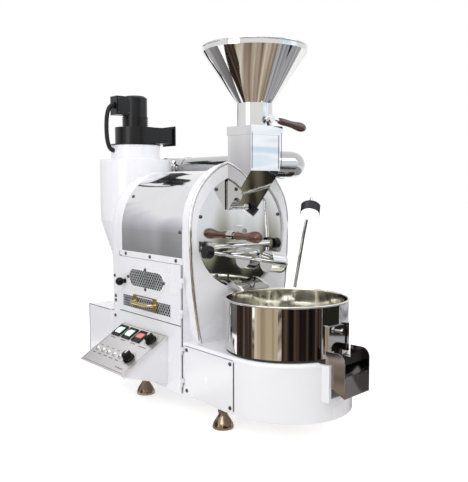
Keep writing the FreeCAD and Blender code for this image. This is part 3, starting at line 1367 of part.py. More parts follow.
screws = []
for step in range(int(num(d.face_bolt_count))):
    angle = math.radians(360 * (step + 0.5) / num(d.face_bolt_count))
    if abs(math.sin(angle)) > 0.97:
        continue
    screws.append(screw(d.face_bolt_circle * math.cos(angle), face_front - d.screw_head_height,
                        d.axle_height + d.face_bolt_circle * math.sin(angle), "y"))
head = d.screw_head_height
panel_x = -d.half_width - d.thin_steel - head
screws += [screw(panel_x, y, z, "x") for y, z in ((18, 72), (18, 170), (183, 72), (183, 170))]
strip_x = -d.half_width - d.sheet_steel - head
screws += [screw(strip_x, y, d.strip_bottom + 8, "x") for y in (225, 342, 462)]
screws.append(screw(-cover_outer - head, 208, d.arch_height + 2, "x"))
arch_screw_turn = math.radians(33.4)


def arch_screw(y):
    """A screw head on the round of the wrap cover, square to it."""
    def point(radius):
        return (-radius * math.cos(arch_screw_turn), y,
                num(d.arch_height) + radius * math.sin(arch_screw_turn))
    near, far = num(cover_outer) + 0.02, num(cover_outer + head)
    return solid("arch_screw", link(point(near), point(far), num(d.screw_head_radius)))


screws += [arch_screw(y) for y in (208, 463)]
post_x = -d.half_width - head
screws += [screw(post_x, y, z, "x") for y, z in ((527, 313), (522, 258), (522, 246), (526, 203))]
node("screws", group(*screws))
window_screws = [screw(-door_out - 1.2 - head, y, z, "x") for y, z in
                 ((d.window_y, d.window_z + 25), (d.window_y, d.window_z - 25),
                  (d.window_y + 86, d.window_z), (d.window_y - 86, d.window_z))]
node("door_screws", group(*window_screws))

doc.recompute()

faults = [item.Name for item in doc.Objects if "Invalid" in item.State or "Error" in item.State]
if faults:
    raise SystemExit(f"objects failed: {faults}")
for item in nodes:
    if item.Shape.isNull() or not item.Shape.isValid() or not item.Shape.Solids:
        raise SystemExit(f"{item.Label} has no valid solid")
whole = FreeCAD.BoundBox()
for item in nodes:
    whole.add(item.Shape.BoundBox)
    item.Shape.exportStep(f"parts/{item.Label}.step")
print(len(nodes), "sub-parts; box",
      [round(v, 2) for v in (whole.XMin, whole.XMax, whole.YMin, whole.YMax, whole.ZMin, whole.ZMax)])
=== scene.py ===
import math

import bmesh
import bpy
import numpy as np
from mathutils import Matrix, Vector


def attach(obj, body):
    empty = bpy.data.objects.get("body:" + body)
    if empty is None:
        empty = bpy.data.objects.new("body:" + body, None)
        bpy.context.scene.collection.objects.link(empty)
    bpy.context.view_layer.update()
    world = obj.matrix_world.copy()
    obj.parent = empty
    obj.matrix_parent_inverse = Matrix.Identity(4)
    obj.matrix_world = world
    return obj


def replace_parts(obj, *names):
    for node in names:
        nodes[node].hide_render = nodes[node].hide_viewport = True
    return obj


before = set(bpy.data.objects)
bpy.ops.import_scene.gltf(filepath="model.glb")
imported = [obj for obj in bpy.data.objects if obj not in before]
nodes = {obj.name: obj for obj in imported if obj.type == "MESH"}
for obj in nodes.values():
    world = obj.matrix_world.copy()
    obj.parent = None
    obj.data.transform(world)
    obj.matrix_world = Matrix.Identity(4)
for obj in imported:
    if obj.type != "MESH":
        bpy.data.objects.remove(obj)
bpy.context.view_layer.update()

print("frame loaded:", len(nodes), "nodes")

# Home coffee bean roaster. Lengths below are millimetres from the cooling tray's axis,
# X across the machine, Y to the rear, Z up. place() moves them into the frame, in metres.

layout = {
    "shiftX": 47.58,
    "shiftY": -285.8,
    "axleHeight": 446.0,
}


def place(points):
    # Millimetres from the tray's axis become metres in the frame: add the shift, then divide by 1000.
    return (np.asarray(points, float) + [layout["shiftX"], layout["shiftY"], 0.0]) / 1000


def startMaterial(name):
    mat = bpy.data.materials.new(name)
    mat.use_nodes = True
    tree = mat.node_tree
    shader = tree.nodes["Principled BSDF"]
    coords = tree.nodes.new("ShaderNodeTexCoord")
    return mat, tree, shader, coords.outputs["Object"]


def addNoise(tree, vector, scale, detail=3.0, stretch=(1, 1, 1), turn=(0, 0, 0)):
    mapping = tree.nodes.new("ShaderNodeMapping")
    mapping.inputs["Scale"].default_value = stretch
    mapping.inputs["Rotation"].default_value = turn
    noise = tree.nodes.new("ShaderNodeTexNoise")
    noise.inputs["Scale"].default_value = scale
    noise.inputs["Detail"].default_value = detail
    tree.links.new(vector, mapping.inputs["Vector"])
    tree.links.new(mapping.outputs["Vector"], noise.inputs["Vector"])
    return noise.outputs["Fac"]


def addRange(tree, value, low, high, fromLow=0.3, fromHigh=0.7):
    node = tree.nodes.new("ShaderNodeMapRange")
    node.inputs["From Min"].default_value = fromLow
    node.inputs["From Max"].default_value = fromHigh
    node.inputs["To Min"].default_value = low
    node.inputs["To Max"].default_value = high
    tree.links.new(value, node.inputs["Value"])
    return node.outputs["Result"]


def addRamp(tree, value, stops):
    ramp = tree.nodes.new("ShaderNodeValToRGB")
    while len(ramp.color_ramp.elements) < len(stops):
        ramp.color_ramp.elements.new(0.5)
    for element, (where, colour) in zip(ramp.color_ramp.elements, stops):
        element.position = where
        element.color = (*colour, 1)
    tree.links.new(value, ramp.inputs["Fac"])
    return ramp.outputs["Color"]


def addBump(tree, shader, height, strength, distance):
    bump = tree.nodes.new("ShaderNodeBump")
    bump.inputs["Strength"].default_value = strength
    bump.inputs["Distance"].default_value = distance
    tree.links.new(height, bump.inputs["Height"])
    tree.links.new(bump.outputs["Normal"], shader.inputs["Normal"])


def paintMaterial(name, colour, rough, grain=1200.0, depth=0.00004, coat=0.0, spread=0.02, metallic=0.0,
                  shine=0.5):
    # Painted or moulded surface: one colour that drifts a little, a fine skin of bumps, and an even gloss.
    mat, tree, shader, vector = startMaterial(name)
    broad = addNoise(tree, vector, 9.0, 4.0)
    darker = tuple(c * (1 - spread) for c in colour)
    lighter = tuple(min(1.0, c * (1 + spread * 0.5)) for c in colour)
    tree.links.new(addRamp(tree, broad, [(0.35, darker), (0.65, lighter)]), shader.inputs["Base Color"])
    fine = addNoise(tree, vector, grain, 2.0)
    tree.links.new(addRange(tree, broad, rough * 0.85, rough * 1.2), shader.inputs["Roughness"])
    addBump(tree, shader, fine, 0.25, depth)
    shader.inputs["Coat Weight"].default_value = coat
    shader.inputs["Coat Roughness"].default_value = 0.04
    shader.inputs["Metallic"].default_value = metallic
    shader.inputs["Specular IOR Level"].default_value = shine
    return mat


def metalMaterial(name, colour, rough, brush=(1, 1, 1), brushScale=500.0, depth=0.00001, spread=0.03,
                  smear=0.25, metallic=1.0):
    # Metal: brushed along its short stretch axis, with smears that change the gloss in patches.
    mat, tree, shader, vector = startMaterial(name)
    broad = addNoise(tree, vector, 14.0, 5.0)
    lines = addNoise(tree, vector, brushScale, 3.0, brush)
    darker = tuple(c * (1 - spread) for c in colour)
    tree.links.new(addRamp(tree, broad, [(0.35, darker), (0.65, colour)]), shader.inputs["Base Color"])
    mix = tree.nodes.new("ShaderNodeMath")
    mix.operation = "MULTIPLY_ADD"
    mix.inputs[1].default_value = smear
    tree.links.new(broad, mix.inputs[0])
    tree.links.new(lines, mix.inputs[2])
    tree.links.new(addRange(tree, mix.outputs[0], rough * 0.7, rough * 1.35, 0.35, 0.9),
                   shader.inputs["Roughness"])
    addBump(tree, shader, lines, 0.2, depth)
    shader.inputs["Metallic"].default_value = metallic
    return mat


def trayMaterial(name, outside, paintedLightInside, rough, centre):
    # Mirror outside, and a little duller inside, where a brighter, warmer base colour is painted light: the
    # two are told apart by the normal's dot with the way out from the tray's axis.
    mat = metalMaterial(name, outside, rough, (1, 1, 1), 300.0, 0.000004)
    tree = mat.node_tree
    shader = tree.nodes["Principled BSDF"]
    coords = tree.nodes.new("ShaderNodeTexCoord")
    geometry = tree.nodes.new("ShaderNodeNewGeometry")
    away = tree.nodes.new("ShaderNodeVectorMath")
    away.operation = "SUBTRACT"
    away.inputs[1].default_value = centre
    tree.links.new(coords.outputs["Object"], away.inputs[0])
    level = tree.nodes.new("ShaderNodeVectorMath")
    level.operation = "MULTIPLY"
    level.inputs[1].default_value = (1, 1, 0)
    tree.links.new(away.outputs[0], level.inputs[0])
    unit = tree.nodes.new("ShaderNodeVectorMath")
    unit.operation = "NORMALIZE"
    tree.links.new(level.outputs[0], unit.inputs[0])
    facing = tree.nodes.new("ShaderNodeVectorMath")
    facing.operation = "DOT_PRODUCT"
    tree.links.new(geometry.outputs["Normal"], facing.inputs[0])
    tree.links.new(unit.outputs[0], facing.inputs[1])
    inner = addRange(tree, facing.outputs["Value"], 1.0, 0.0, -0.6, -0.2)
    blend = tree.nodes.new("ShaderNodeMix")
    blend.data_type = "RGBA"
    # The inside faces take the brighter colour: painted light on the same steel.
    blend.inputs["B"].default_value = (*paintedLightInside, 1)
    tree.links.new(inner, blend.inputs["Factor"])
    tree.links.new(shader.inputs["Base Color"].links[0].from_socket, blend.inputs["A"])
    tree.links.new(blend.outputs["Result"], shader.inputs["Base Color"])
    gloss = tree.nodes.new("ShaderNodeMath")
    gloss.operation = "MULTIPLY_ADD"
    gloss.inputs[1].default_value = 0.03
    tree.links.new(inner, gloss.inputs[0])
    tree.links.new(shader.inputs["Roughness"].links[0].from_socket, gloss.inputs[2])
    tree.links.new(gloss.outputs[0], shader.inputs["Roughness"])
    return mat


def woodMaterial(name, dark, light, rough, stretch=(6, 1, 6)):
    # Turned wood: long wavy grain lines that run with the stretch's small axis, under a thin varnish.
    mat, tree, shader, vector = startMaterial(name)
    grain = addNoise(tree, vector, 28.0, 6.0, stretch)
    pores = addNoise(tree, vector, 160.0, 3.0, stretch)
    tree.links.new(addRamp(tree, grain, [(0.3, dark), (0.5, light), (0.72, dark)]),
                   shader.inputs["Base Color"])
    tree.links.new(addRange(tree, pores, rough * 0.8, rough * 1.3), shader.inputs["Roughness"])
    addBump(tree, shader, pores, 0.3, 0.0001)
    shader.inputs["Coat Weight"].default_value = 0.5
    shader.inputs["Coat Roughness"].default_value = 0.12
    return mat


def glowMaterial(name, colour, glow, strength, rough=0.3):
    # Lit plastic: a tinted glossy face with a soft light of its own that is a little uneven.
    mat, tree, shader, vector = startMaterial(name)
    broad = addNoise(tree, vector, 60.0, 2.0)
    tree.links.new(addRamp(tree, broad, [(0.3, tuple(c * 0.94 for c in colour)), (0.7, colour)]),
                   shader.inputs["Base Color"])
    tree.links.new(addRange(tree, broad, rough * 0.8, rough * 1.2), shader.inputs["Roughness"])
    shader.inputs["Emission Color"].default_value = (*glow, 1)
    shader.inputs["Emission Strength"].default_value = strength
    return mat


def rockerMaterial(name, low, high, edges, glow):
    # Rocker cap: the height in the frame picks the colour, so a dark strip lies below the lit part.
    # Both glow a little.
    mat, tree, shader, vector = startMaterial(name)
    split = tree.nodes.new("ShaderNodeSeparateXYZ")
    tree.links.new(vector, split.inputs[0])
    wear = addNoise(tree, vector, 90.0, 2.0)
    height = addRange(tree, split.outputs["Z"], 0.0, 1.0, *edges)
    step = tree.nodes.new("ShaderNodeMath")
    step.operation = "MULTIPLY_ADD"
    step.inputs[1].default_value = 0.06
    tree.links.new(wear, step.inputs[0])
    tree.links.new(height, step.inputs[2])
    colour = addRamp(tree, step.outputs[0], [(0.48, low), (0.58, high)])
    tree.links.new(colour, shader.inputs["Base Color"])
    tree.links.new(colour, shader.inputs["Emission Color"])
    tree.links.new(addRange(tree, wear, 0.22, 0.34), shader.inputs["Roughness"])
    shader.inputs["Emission Strength"].default_value = glow
    return mat


finishes = {
    "whitePaint": paintMaterial("whitePaint", (0.88, 0.88, 0.915), 0.24, 900.0, 0.00003, 0.5, 0.012),
    "mirrorSteel": metalMaterial("mirrorSteel", (0.69, 0.685, 0.68), 0.05, (1, 1, 1), 300.0, 0.000004),
    "coverMirror": metalMaterial("coverMirror", (0.80, 0.80, 0.81), 0.07, (1, 1, 1), 300.0, 0.000004),
    # The tray wall's inside colour is painted light: the same steel, made brighter and warmer.
    "trayWall": trayMaterial("trayWall", (0.69, 0.685, 0.68), (1.0, 0.985, 0.90), 0.05,
                             (0.04758, -0.2858, 0.25)),
    "brightSteel": metalMaterial("brightSteel", (0.80, 0.79, 0.77), 0.17, (1, 1, 8), 260.0, 0.00001),
    # Tray floor: the tray's steel with a brighter, warmer base colour, which is painted light.
    "trayFloorPaintedLight": metalMaterial("trayFloorPaintedLight", (0.98, 0.965, 0.90), 0.16, (1, 1, 10), 240.0, 0.00001, 0.03,
                                0.25, 0.75),
    "satinSteel": metalMaterial("satinSteel", (0.86, 0.84, 0.83), 0.36, (0.4, 14, 0.4), 220.0, 0.00002),
    "bronze": metalMaterial("bronze", (0.37, 0.29, 0.22), 0.20, (1, 1, 6), 300.0, 0.00002, 0.15),
    "screwSteel": metalMaterial("screwSteel", (0.16, 0.16, 0.165), 0.30, (1, 1, 1), 900.0, 0.00002, 0.2),
    "darkScreen": metalMaterial("darkScreen", (0.045, 0.045, 0.05), 0.45, (1, 1, 1), 700.0, 0.00002, 0.2),
    "drumSteel": metalMaterial("drumSteel", (0.42, 0.40, 0.38), 0.36, (1, 6, 1), 200.0, 0.00003, 0.15),
    "motorGrey": paintMaterial("motorGrey", (0.30, 0.31, 0.32), 0.42, 700.0, 0.00006, 0.1, 0.06),
    "burnerIron": paintMaterial("burnerIron", (0.07, 0.065, 0.06), 0.62, 500.0, 0.00012, 0.0, 0.25, 0.6),
    "blackEnamel": paintMaterial("blackEnamel", (0.004, 0.004, 0.005), 0.26, 600.0, 0.00008, 0.0, 0.15, 0.0,
                                 0.28),
    "blackPlastic": paintMaterial("blackPlastic", (0.004, 0.004, 0.0045), 0.28, 1400.0, 0.00003, 0.0, 0.1,
                                  0.0, 0.22),
    "sealRubber": paintMaterial("sealRubber", (0.025, 0.025, 0.026), 0.65, 800.0, 0.00006, 0.0, 0.2),
    "redWood": woodMaterial("redWood", (0.022, 0.008, 0.006), (0.075, 0.026, 0.016), 0.24, (0.6, 7, 7)),
    "trierWood": woodMaterial("trierWood", (0.04, 0.012, 0.007), (0.14, 0.045, 0.022), 0.24, (7, 0.6, 7)),
    "brassHandle": metalMaterial("brassHandle", (0.68, 0.56, 0.30), 0.22, (1, 6, 1), 300.0, 0.00001, 0.12),
    "greenRocker": rockerMaterial("greenRocker", (0.02, 0.022, 0.02), (0.66, 0.90, 0.76), (0.1675, 0.1795),
                                  0.5),
    "redRocker": rockerMaterial("redRocker", (0.02, 0.012, 0.012), (0.72, 0.20, 0.16), (0.1705, 0.1825),
                                0.25),
    "meshSteel": metalMaterial("meshSteel", (0.74, 0.74, 0.77), 0.36, (1, 1, 1), 700.0, 0.00002, 0.15, 0.25,
                               0.35),
    # Dark ink for the printing on the plate; the same colour also makes the dark gap strips, which are
    # painted shade.
    "inkAndGapShade": paintMaterial("inkAndGapShade", (0.06, 0.055, 0.06), 0.5, 900.0, 0.00001, 0.0, 0.2),
    "ductSteel": metalMaterial("ductSteel", (0.52, 0.52, 0.53), 0.13, (1, 1, 1), 300.0, 0.000006),
    # Tray chute steel: its dark base colour is painted reflection of dark surroundings on plain stainless
    # steel.
    "chuteSteelPaintedShade": metalMaterial("chuteSteelPaintedShade", (0.36, 0.345, 0.34), 0.08, (1, 1, 1), 300.0, 0.000006),
    "whiteInk": paintMaterial("whiteInk", (0.85, 0.85, 0.84), 0.4, 900.0, 0.00001, 0.0, 0.02),
    "indicatorSilver": metalMaterial("indicatorSilver", (0.88, 0.88, 0.87), 0.18, (1, 1, 1), 500.0, 0.00001,
                                     0.05),
    "bandGrey": paintMaterial("bandGrey", (0.022, 0.02, 0.034), 0.42, 700.0, 0.00004, 0.1, 0.1),
    "litLens": glowMaterial("litLens", (0.92, 0.93, 0.95), (1.0, 1.0, 1.0), 0.55, 0.12),
    "bristleBlack": paintMaterial("bristleBlack", (0.03, 0.028, 0.025), 0.55, 900.0, 0.00002, 0.0, 0.3),
    "hosePlastic": paintMaterial("hosePlastic", (0.008, 0.008, 0.009), 0.36, 900.0, 0.00004, 0.0, 0.15, 0.0,
                                 0.3),
    "lampCap": paintMaterial("lampCap", (0.50, 0.51, 0.53), 0.30, 900.0, 0.00003, 0.3, 0.02),
    "lampChrome": metalMaterial("lampChrome", (0.78, 0.78, 0.78), 0.12, (1, 1, 30), 90.0, 0.00002),
}

nodeFinishes = {
    "whitePaint": ["base_shell", "cabinet_shell", "service_panel", "rear_box", "front_shell", "cyclone",
                   "chute_bracket", "upper_door", "lower_door", "control_box", "chaff_drawer", "base_pan",
                   "side_hinges"],
    "mirrorSteel": ["faceplate", "feed_box", "hopper", "discharge_door",
                    "trier_probe", "feed_gate", "tray_gate"],
    "ductSteel": ["exhaust_duct"],
    "chuteSteelPaintedShade": ["tray_chute"],
    "coverMirror": ["wrap_cover", "shell_bead"],
    "trayFloorPaintedLight": ["tray_floor"],
    "trayWall": ["cooling_tray"],
    "brightSteel": ["stirrer", "door_screws"],
    "satinSteel": ["control_plate"],
    "bronze": ["levelling_feet"],
    "screwSteel": ["screws"],
    "darkScreen": ["door_screens"],
    "drumSteel": ["drum", "drum_liner"],
    "motorGrey": ["drum_gearmotor", "stirrer_motor", "fan_motor", "cooling_fan", "blower_wheel"],
    "burnerIron": ["burner"],
    "blackEnamel": ["blower_housing", "blower_motor"],
    "blackPlastic": ["blower_conduit", "dial_upper", "dial_lower", "clamp_knob", "latch_knob",
                     "switch_bezels", "power_inlet", "discharge_knob"],
    "sealRubber": ["tray_seal"],
    "redWood": ["feed_grip"],
    "trierWood": ["trier_grip"],
    "brassHandle": ["bow_handle"],
    "greenRocker": ["rocker_heat", "rocker_drum"],
    "redRocker": ["rocker_cool"],
    "lampCap": ["lamp_head"],
    "lampChrome": ["lamp_stand", "indicator_lamps"],
}


def setFinish(obj, name):
    obj.data.materials.clear()
    obj.data.materials.append(finishes[name])


for finish, members in nodeFinishes.items():
    for node in members:
        setFinish(nodes[node], finish)
print("finishes on nodes:", sum(len(m) for m in nodeFinishes.values()))

# Grids of points, and the pieces made from them


def gridFaces(rows, cols, loopRows, loopCols):
    # Cell (i, j) of the grid joins rows i and i+1 with columns j and j+1, wrapping where the surface closes.
    i, j = np.meshgrid(np.arange(rows if loopRows else rows - 1),
                       np.arange(cols if loopCols else cols - 1), indexing="ij")
    nextI, nextJ = (i + 1) % rows, (j + 1) % cols
    corners = [i * cols + j, nextI * cols + j, nextI * cols + nextJ, i * cols + nextJ]
    return np.stack(corners, -1).reshape(-1, 4)


def makePiece(name, grids, finish, body, smoothAngle=40.0, inMetres=False):
    # Stacks grids (points, loopRows, loopCols) in millimetres into one mesh, merges its seams and poles,
    # turns its faces outwards and lets it ride on a CAD body.
    points, faces, count = [], [], 0
    for grid, loopRows, loopCols in grids:
        grid = np.asarray(grid, float)
        points.append(grid.reshape(-1, 3))
        faces.append(gridFaces(grid.shape[0], grid.shape[1], loopRows, loopCols) + count)
        count += grid.shape[0] * grid.shape[1]
    points = np.concatenate(points)
    if not inMetres:
        points = place(points)
    mesh = bpy.data.meshes.new(name)
    mesh.from_pydata(points.tolist(), [], np.concatenate(faces).tolist())
    work = bmesh.new()
    work.from_mesh(mesh)
    bmesh.ops.remove_doubles(work, verts=work.verts, dist=1e-6)
    bmesh.ops.recalc_face_normals(work, faces=work.faces)
    work.to_mesh(mesh)
    work.free()
    mesh.shade_smooth()
    mesh.set_sharp_from_angle(angle=math.radians(smoothAngle))
    piece = bpy.data.objects.new(name, mesh)
    bpy.context.scene.collection.objects.link(piece)
    setFinish(piece, finish)
    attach(piece, body)
    return piece


def axisFrame(way):
    # Two unit directions square to a given one, for circles drawn round it.
    way = np.asarray(way, float) / np.linalg.norm(way)
    side = np.cross(way, [0.0, 0.0, 1.0] if abs(way[2]) < 0.9 else [0.0, 1.0, 0.0])
    side /= np.linalg.norm(side)
    return way, side, np.cross(way, side)


def turnedGrid(profile, start, way, steps=48, wave=None):
    # Point(t, s) = start + height(s) along the axis + radius(s) round it at angle t.
    # A function wave(t, s) may scale the radius.
    way, side, up = axisFrame(way)
    profile = np.asarray(profile, float)
    angle = np.linspace(0, 2 * np.pi, steps, endpoint=False)[:, None]
    radius = np.broadcast_to(profile[:, 0], (steps, len(profile)))
    if wave is not None:
        radius = radius * wave(angle, np.arange(len(profile))[None, :])
    return (np.asarray(start, float) + profile[None, :, 1, None] * way
            + (radius * np.cos(angle))[..., None] * side + (radius * np.sin(angle))[..., None] * up)


def blockGrid(centre, half, axes=((1, 0, 0), (0, 1, 0), (0, 0, 1)), corner=0.2, rows=9, cols=24):
    # A rounded block: a sphere's latitude and longitude with their sines and cosines raised to a small power.
    low = np.linspace(-np.pi / 2, np.pi / 2, rows)[:, None]
    turn = np.linspace(0, 2 * np.pi, cols, endpoint=False)[None, :] + np.pi / cols

    def press(value):
        return np.sign(value) * np.abs(value) ** corner

    x = press(np.cos(low)) * press(np.cos(turn))
    y = press(np.cos(low)) * press(np.sin(turn))
    z = press(np.sin(low)) * np.ones_like(turn)
    axes = np.asarray(axes, float)
    return (np.asarray(centre, float) + (x * half[0])[..., None] * axes[0]
            + (y * half[1])[..., None] * axes[1] + (z * half[2])[..., None] * axes[2])


def tubeGrid(path, radius, steps=10, closed=False, wave=None):
    # Point(s, t) = path(s) + radius round the path's direction; the side direction is carried along the path.
    path = np.asarray(path, float)
    ahead = np.roll(path, -1, 0) - np.roll(path, 1, 0) if closed else np.gradient(path, axis=0)
    ahead /= np.linalg.norm(ahead, axis=1)[:, None]
    side = np.zeros_like(path)
    side[0] = axisFrame(ahead[0])[1]
    for k in range(1, len(path)):   # each ring takes the last ring's side, made square to the path again
        side[k] = side[k - 1] - ahead[k] * np.dot(side[k - 1], ahead[k])
        side[k] /= np.linalg.norm(side[k])
    up = np.cross(ahead, side)
    angle = np.linspace(0, 2 * np.pi, steps, endpoint=False)[None, :, None]
    radius = np.full(len(path), float(radius)) if wave is None else radius * wave(np.arange(len(path)))
    ring = side[:, None] * np.cos(angle) + up[:, None] * np.sin(angle)
    return path[:, None] + ring * radius[:, None, None]


def stripGrid(path, across, thick):
    # A flat strip along a path: four corners at each point, half of across and thick to each side.
    path = np.asarray(path, float)
    corners = np.array([[-1, -1], [1, -1], [1, 1], [-1, 1]], float) / 2
    return (path[:, None] + corners[None, :, 0, None] * np.asarray(across, float)
            + corners[None, :, 1, None] * np.asarray(thick, float))


# Expanded metal behind the window and the grille of the upper door

doorMesh = {
    "plane": -152.7,
    "pitch": 10.8,
    "rowHeight": 6.8,
    "strandWidth": 2.0,
    "strandDepth": 0.9,
    "windowCentre": (361.0, 319.0),
    "windowSize": (172.0, 50.0),
    "grilleCentre": (361.5, 254.0),
    "grilleSize": (234.0, 36.0),
}


def meshStrands(centre, size, rounded):
    # Strand k is a zigzag: z = its row's height plus or minus half a row, a triangle wave of y.
    # It ends where the opening does: at the half length less a round end's sagitta at that height.
    grids = []
    rows = int(size[1] / doorMesh["rowHeight"]) + 1
    for k in range(rows):
        z0 = (k - (rows - 1) / 2) * doorMesh["rowHeight"]
        reach = size[0] / 2
        if rounded:
            radius = size[1] / 2
            reach = size[0] / 2 - radius + math.sqrt(max(radius ** 2 - z0 ** 2, 0))
        half = doorMesh["pitch"] / 2
        y = np.arange(-math.floor(reach / half), math.floor(reach / half) + 1) * half
        if len(y) < 3:
            continue
        phase = np.round(y / half).astype(int) % 2
        z = z0 + (np.where(phase == 0, 0.5, -0.5) * (1 if k % 2 else -1)) * (doorMesh["rowHeight"] - 0.9)
        path = np.stack([np.full_like(y, doorMesh["plane"]), centre[0] + y, centre[1] + z], -1)
        grids.append((stripGrid(path, (0, 0, doorMesh["strandWidth"]), (doorMesh["strandDepth"], 0, 0)),
                      False, True))
    return grids


makePiece("expandedMesh", meshStrands(doorMesh["windowCentre"], doorMesh["windowSize"], True)
          + meshStrands(doorMesh["grilleCentre"], doorMesh["grilleSize"], False),
          "meshSteel", "upper_door")

windowLip = {
    "centre": (361.0, 319.0),
    "straight": 61.0,
    "round": 22.6,
    "plane": -154.4,
    "wire": 1.1,
    "steps": 28,
}


def stadiumPath(centre, straight, radius, plane):
    # Two half circles, their centres a straight run apart, joined into one loop in the door's plane.
    turn = np.linspace(-np.pi / 2, np.pi / 2, windowLip["steps"])
    right = np.stack([straight + radius * np.cos(turn), radius * np.sin(turn)], -1)
    loop = np.concatenate([right, -right])
    return np.stack([np.full(len(loop), plane), centre[0] + loop[:, 0], centre[1] + loop[:, 1]], -1)


lipPath = stadiumPath(windowLip["centre"], windowLip["straight"], windowLip["round"], windowLip["plane"])
makePiece("windowLip", [(tubeGrid(lipPath, windowLip["wire"], 8, True), True, True)],
          "whitePaint", "upper_door")
print("upper door dressed")

# Control plate: u runs forward along it, v down its slope, w out of it

panel = {
    "corner": (-153.4, 474.0, 193.6),
    "run": 130.6,
    "fall": 80.6,
    "length": 217.0,
    "rockerV": 31.7,
    "rockerU": (27.0, 77.0, 127.0),
    "dials": {"dial_upper": (32.2, 180.1), "dial_lower": (102.1, 173.6)},
    "indicatorV": 104.4,
    "indicatorU": (21.7, 50.3, 79.0, 107.6, 136.3),
}
slope = math.hypot(panel["run"], panel["fall"])
downWay = np.array([-panel["run"], 0, -panel["fall"]]) / slope
outWay = np.array([-panel["fall"], 0, panel["run"]]) / slope
aheadWay = np.array([0.0, -1.0, 0.0])
plateAxes = (downWay, aheadWay, outWay)


def onPlate(v, u, w):
    return np.array(panel["corner"]) + v * downWay + u * aheadWay + w * outWay


printing = {
    "high": 0.12,
    "inset": 6.0,
    "line": 0.5,
    "rayReach": 21.5,
    "ray": (1.6, 0.4),
    "dialRing": 18.2,
    "underRocker": 57.5,
    "underIndicator": 118.5,
    "overIndicator": 91.0,
    "dialRows": (59.0, 136.0),
}


def flatMark(v, u, halfV, halfU, turn=0.0):
    # A printed mark: a very thin rounded block on the plate, turned in its plane.
    high = printing["high"]
    cos, sin = math.cos(turn), math.sin(turn)
    axes = (cos * downWay + sin * aheadWay, -sin * downWay + cos * aheadWay, outWay)
    return (blockGrid(onPlate(v, u, high), (halfV, halfU, high), axes, 0.3, 5, 12), False, True)


def ringMark(v, u, radius, wide):
    # A printed ring: a flat strip that follows a circle round (v, u).
    turn = np.radians(np.linspace(0, 360, 60))[:, None]
    out = np.cos(turn) * downWay + np.sin(turn) * aheadWay
    circle = onPlate(v, u, printing["high"]) + radius * out
    corners = np.array([[-wide, -0.1], [wide, -0.1], [wide, 0.1], [-wide, 0.1]])
    grid = circle[:, None] + corners[None, :, :1] * out[:, None] + corners[None, :, 1:] * outWay
    return (grid, False, True)


marks = []
inset, line, middle = printing["inset"], printing["line"], panel["length"] / 2
for v in (inset, slope - inset):
    marks.append(flatMark(v, middle, line, middle - inset))
for u in (inset, panel["length"] - inset):
    marks.append(flatMark(slope / 2, u, slope / 2 - inset, line))
for v, u in panel["dials"].values():
    marks.append(ringMark(v, u, printing["dialRing"], 0.3))
    for tick in range(11):      # eleven short rays over 270 degrees
        turn = math.radians(45 + 27 * tick)
        reach = printing["rayReach"]
        marks.append(flatMark(v + reach * math.cos(turn), u + reach * math.sin(turn), *printing["ray"], turn))
for u in panel["rockerU"]:
    for step in range(4):       # a row of short bars under each switch
        marks.append(flatMark(printing["underRocker"], u - 9 + 6 * step, 1.5, 1.9))
for u in panel["indicatorU"]:
    for step in range(3):
        marks.append(flatMark(printing["underIndicator"], u - 5.5 + 5.5 * step, 1.5, 1.8))
        marks.append(flatMark(printing["overIndicator"], u - 4 + 4 * step, 1.2, 1.2))
for step in range(5):
    for v in printing["dialRows"]:
        marks.append(flatMark(v, 160 + 7 * step, 1.5, 2.3))
makePiece("panelMarks", marks, "inkAndGapShade", "lower_door")

dialKnob = {"skirt": 15.0, "grip": 12.4, "top": 11.0, "height": 19.4, "flutes": 18, "depth": 0.035}


def fluted(angle, index):
    # The radius swells and dips by a few hundredths, a fixed number of times round the grip only.
    onGrip = ((index >= 4) & (index <= 8)).astype(float)
    return 1 + dialKnob["depth"] * np.cos(dialKnob["flutes"] * angle) * onGrip


for node, (v, u) in panel["dials"].items():
    k = dialKnob
    profile = [(0, 0.5), (k["skirt"], 0.5), (k["skirt"], 2.6), (k["skirt"] - 1, 3.8), (k["grip"] + 0.2, 4.6),
               (k["grip"], 6), (k["grip"] - 0.5, 11), (k["top"] + 0.4, 16), (k["top"], 18.4),
               (k["top"] - 1.2, k["height"]), (0, k["height"])]
    knob = makePiece(node + "_knob",
                     [(turnedGrid(profile, onPlate(v, u, 0), outWay, 108, fluted), True, False)],
                     "blackPlastic", node, 50)
    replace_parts(knob, node)
    bar = blockGrid(onPlate(v - 5.4, u, 19.2), (6.2, 1.9, 1.7), plateAxes, 0.35)
    makePiece(node + "_pointer", [(bar, False, True)], "whiteInk", node)

indicatorCap = {"radius": 5.4, "height": 5.6}
caps = []
for u in panel["indicatorU"]:
    r, h = indicatorCap["radius"], indicatorCap["height"]
    rise = np.linspace(0, np.pi / 2, 8)
    dome = [(7.4, 0.4), (7.4, 1.6), (6.4, 2.2), (r, 2.2), (r, 3.2)]
    dome += [(r * math.cos(a), 3.2 + (h - 3.2) * math.sin(a)) for a in rise[1:]]
    caps.append((turnedGrid([(0, 0.4)] + dome, onPlate(panel["indicatorV"], u, 0), outWay, 28), True, False))
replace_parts(makePiece("indicatorCaps", caps, "indicatorSilver", "lower_door"),
            "indicator_lamps")
print("control plate dressed")

# Lamp head: cap, dark band and lit lens along one axis

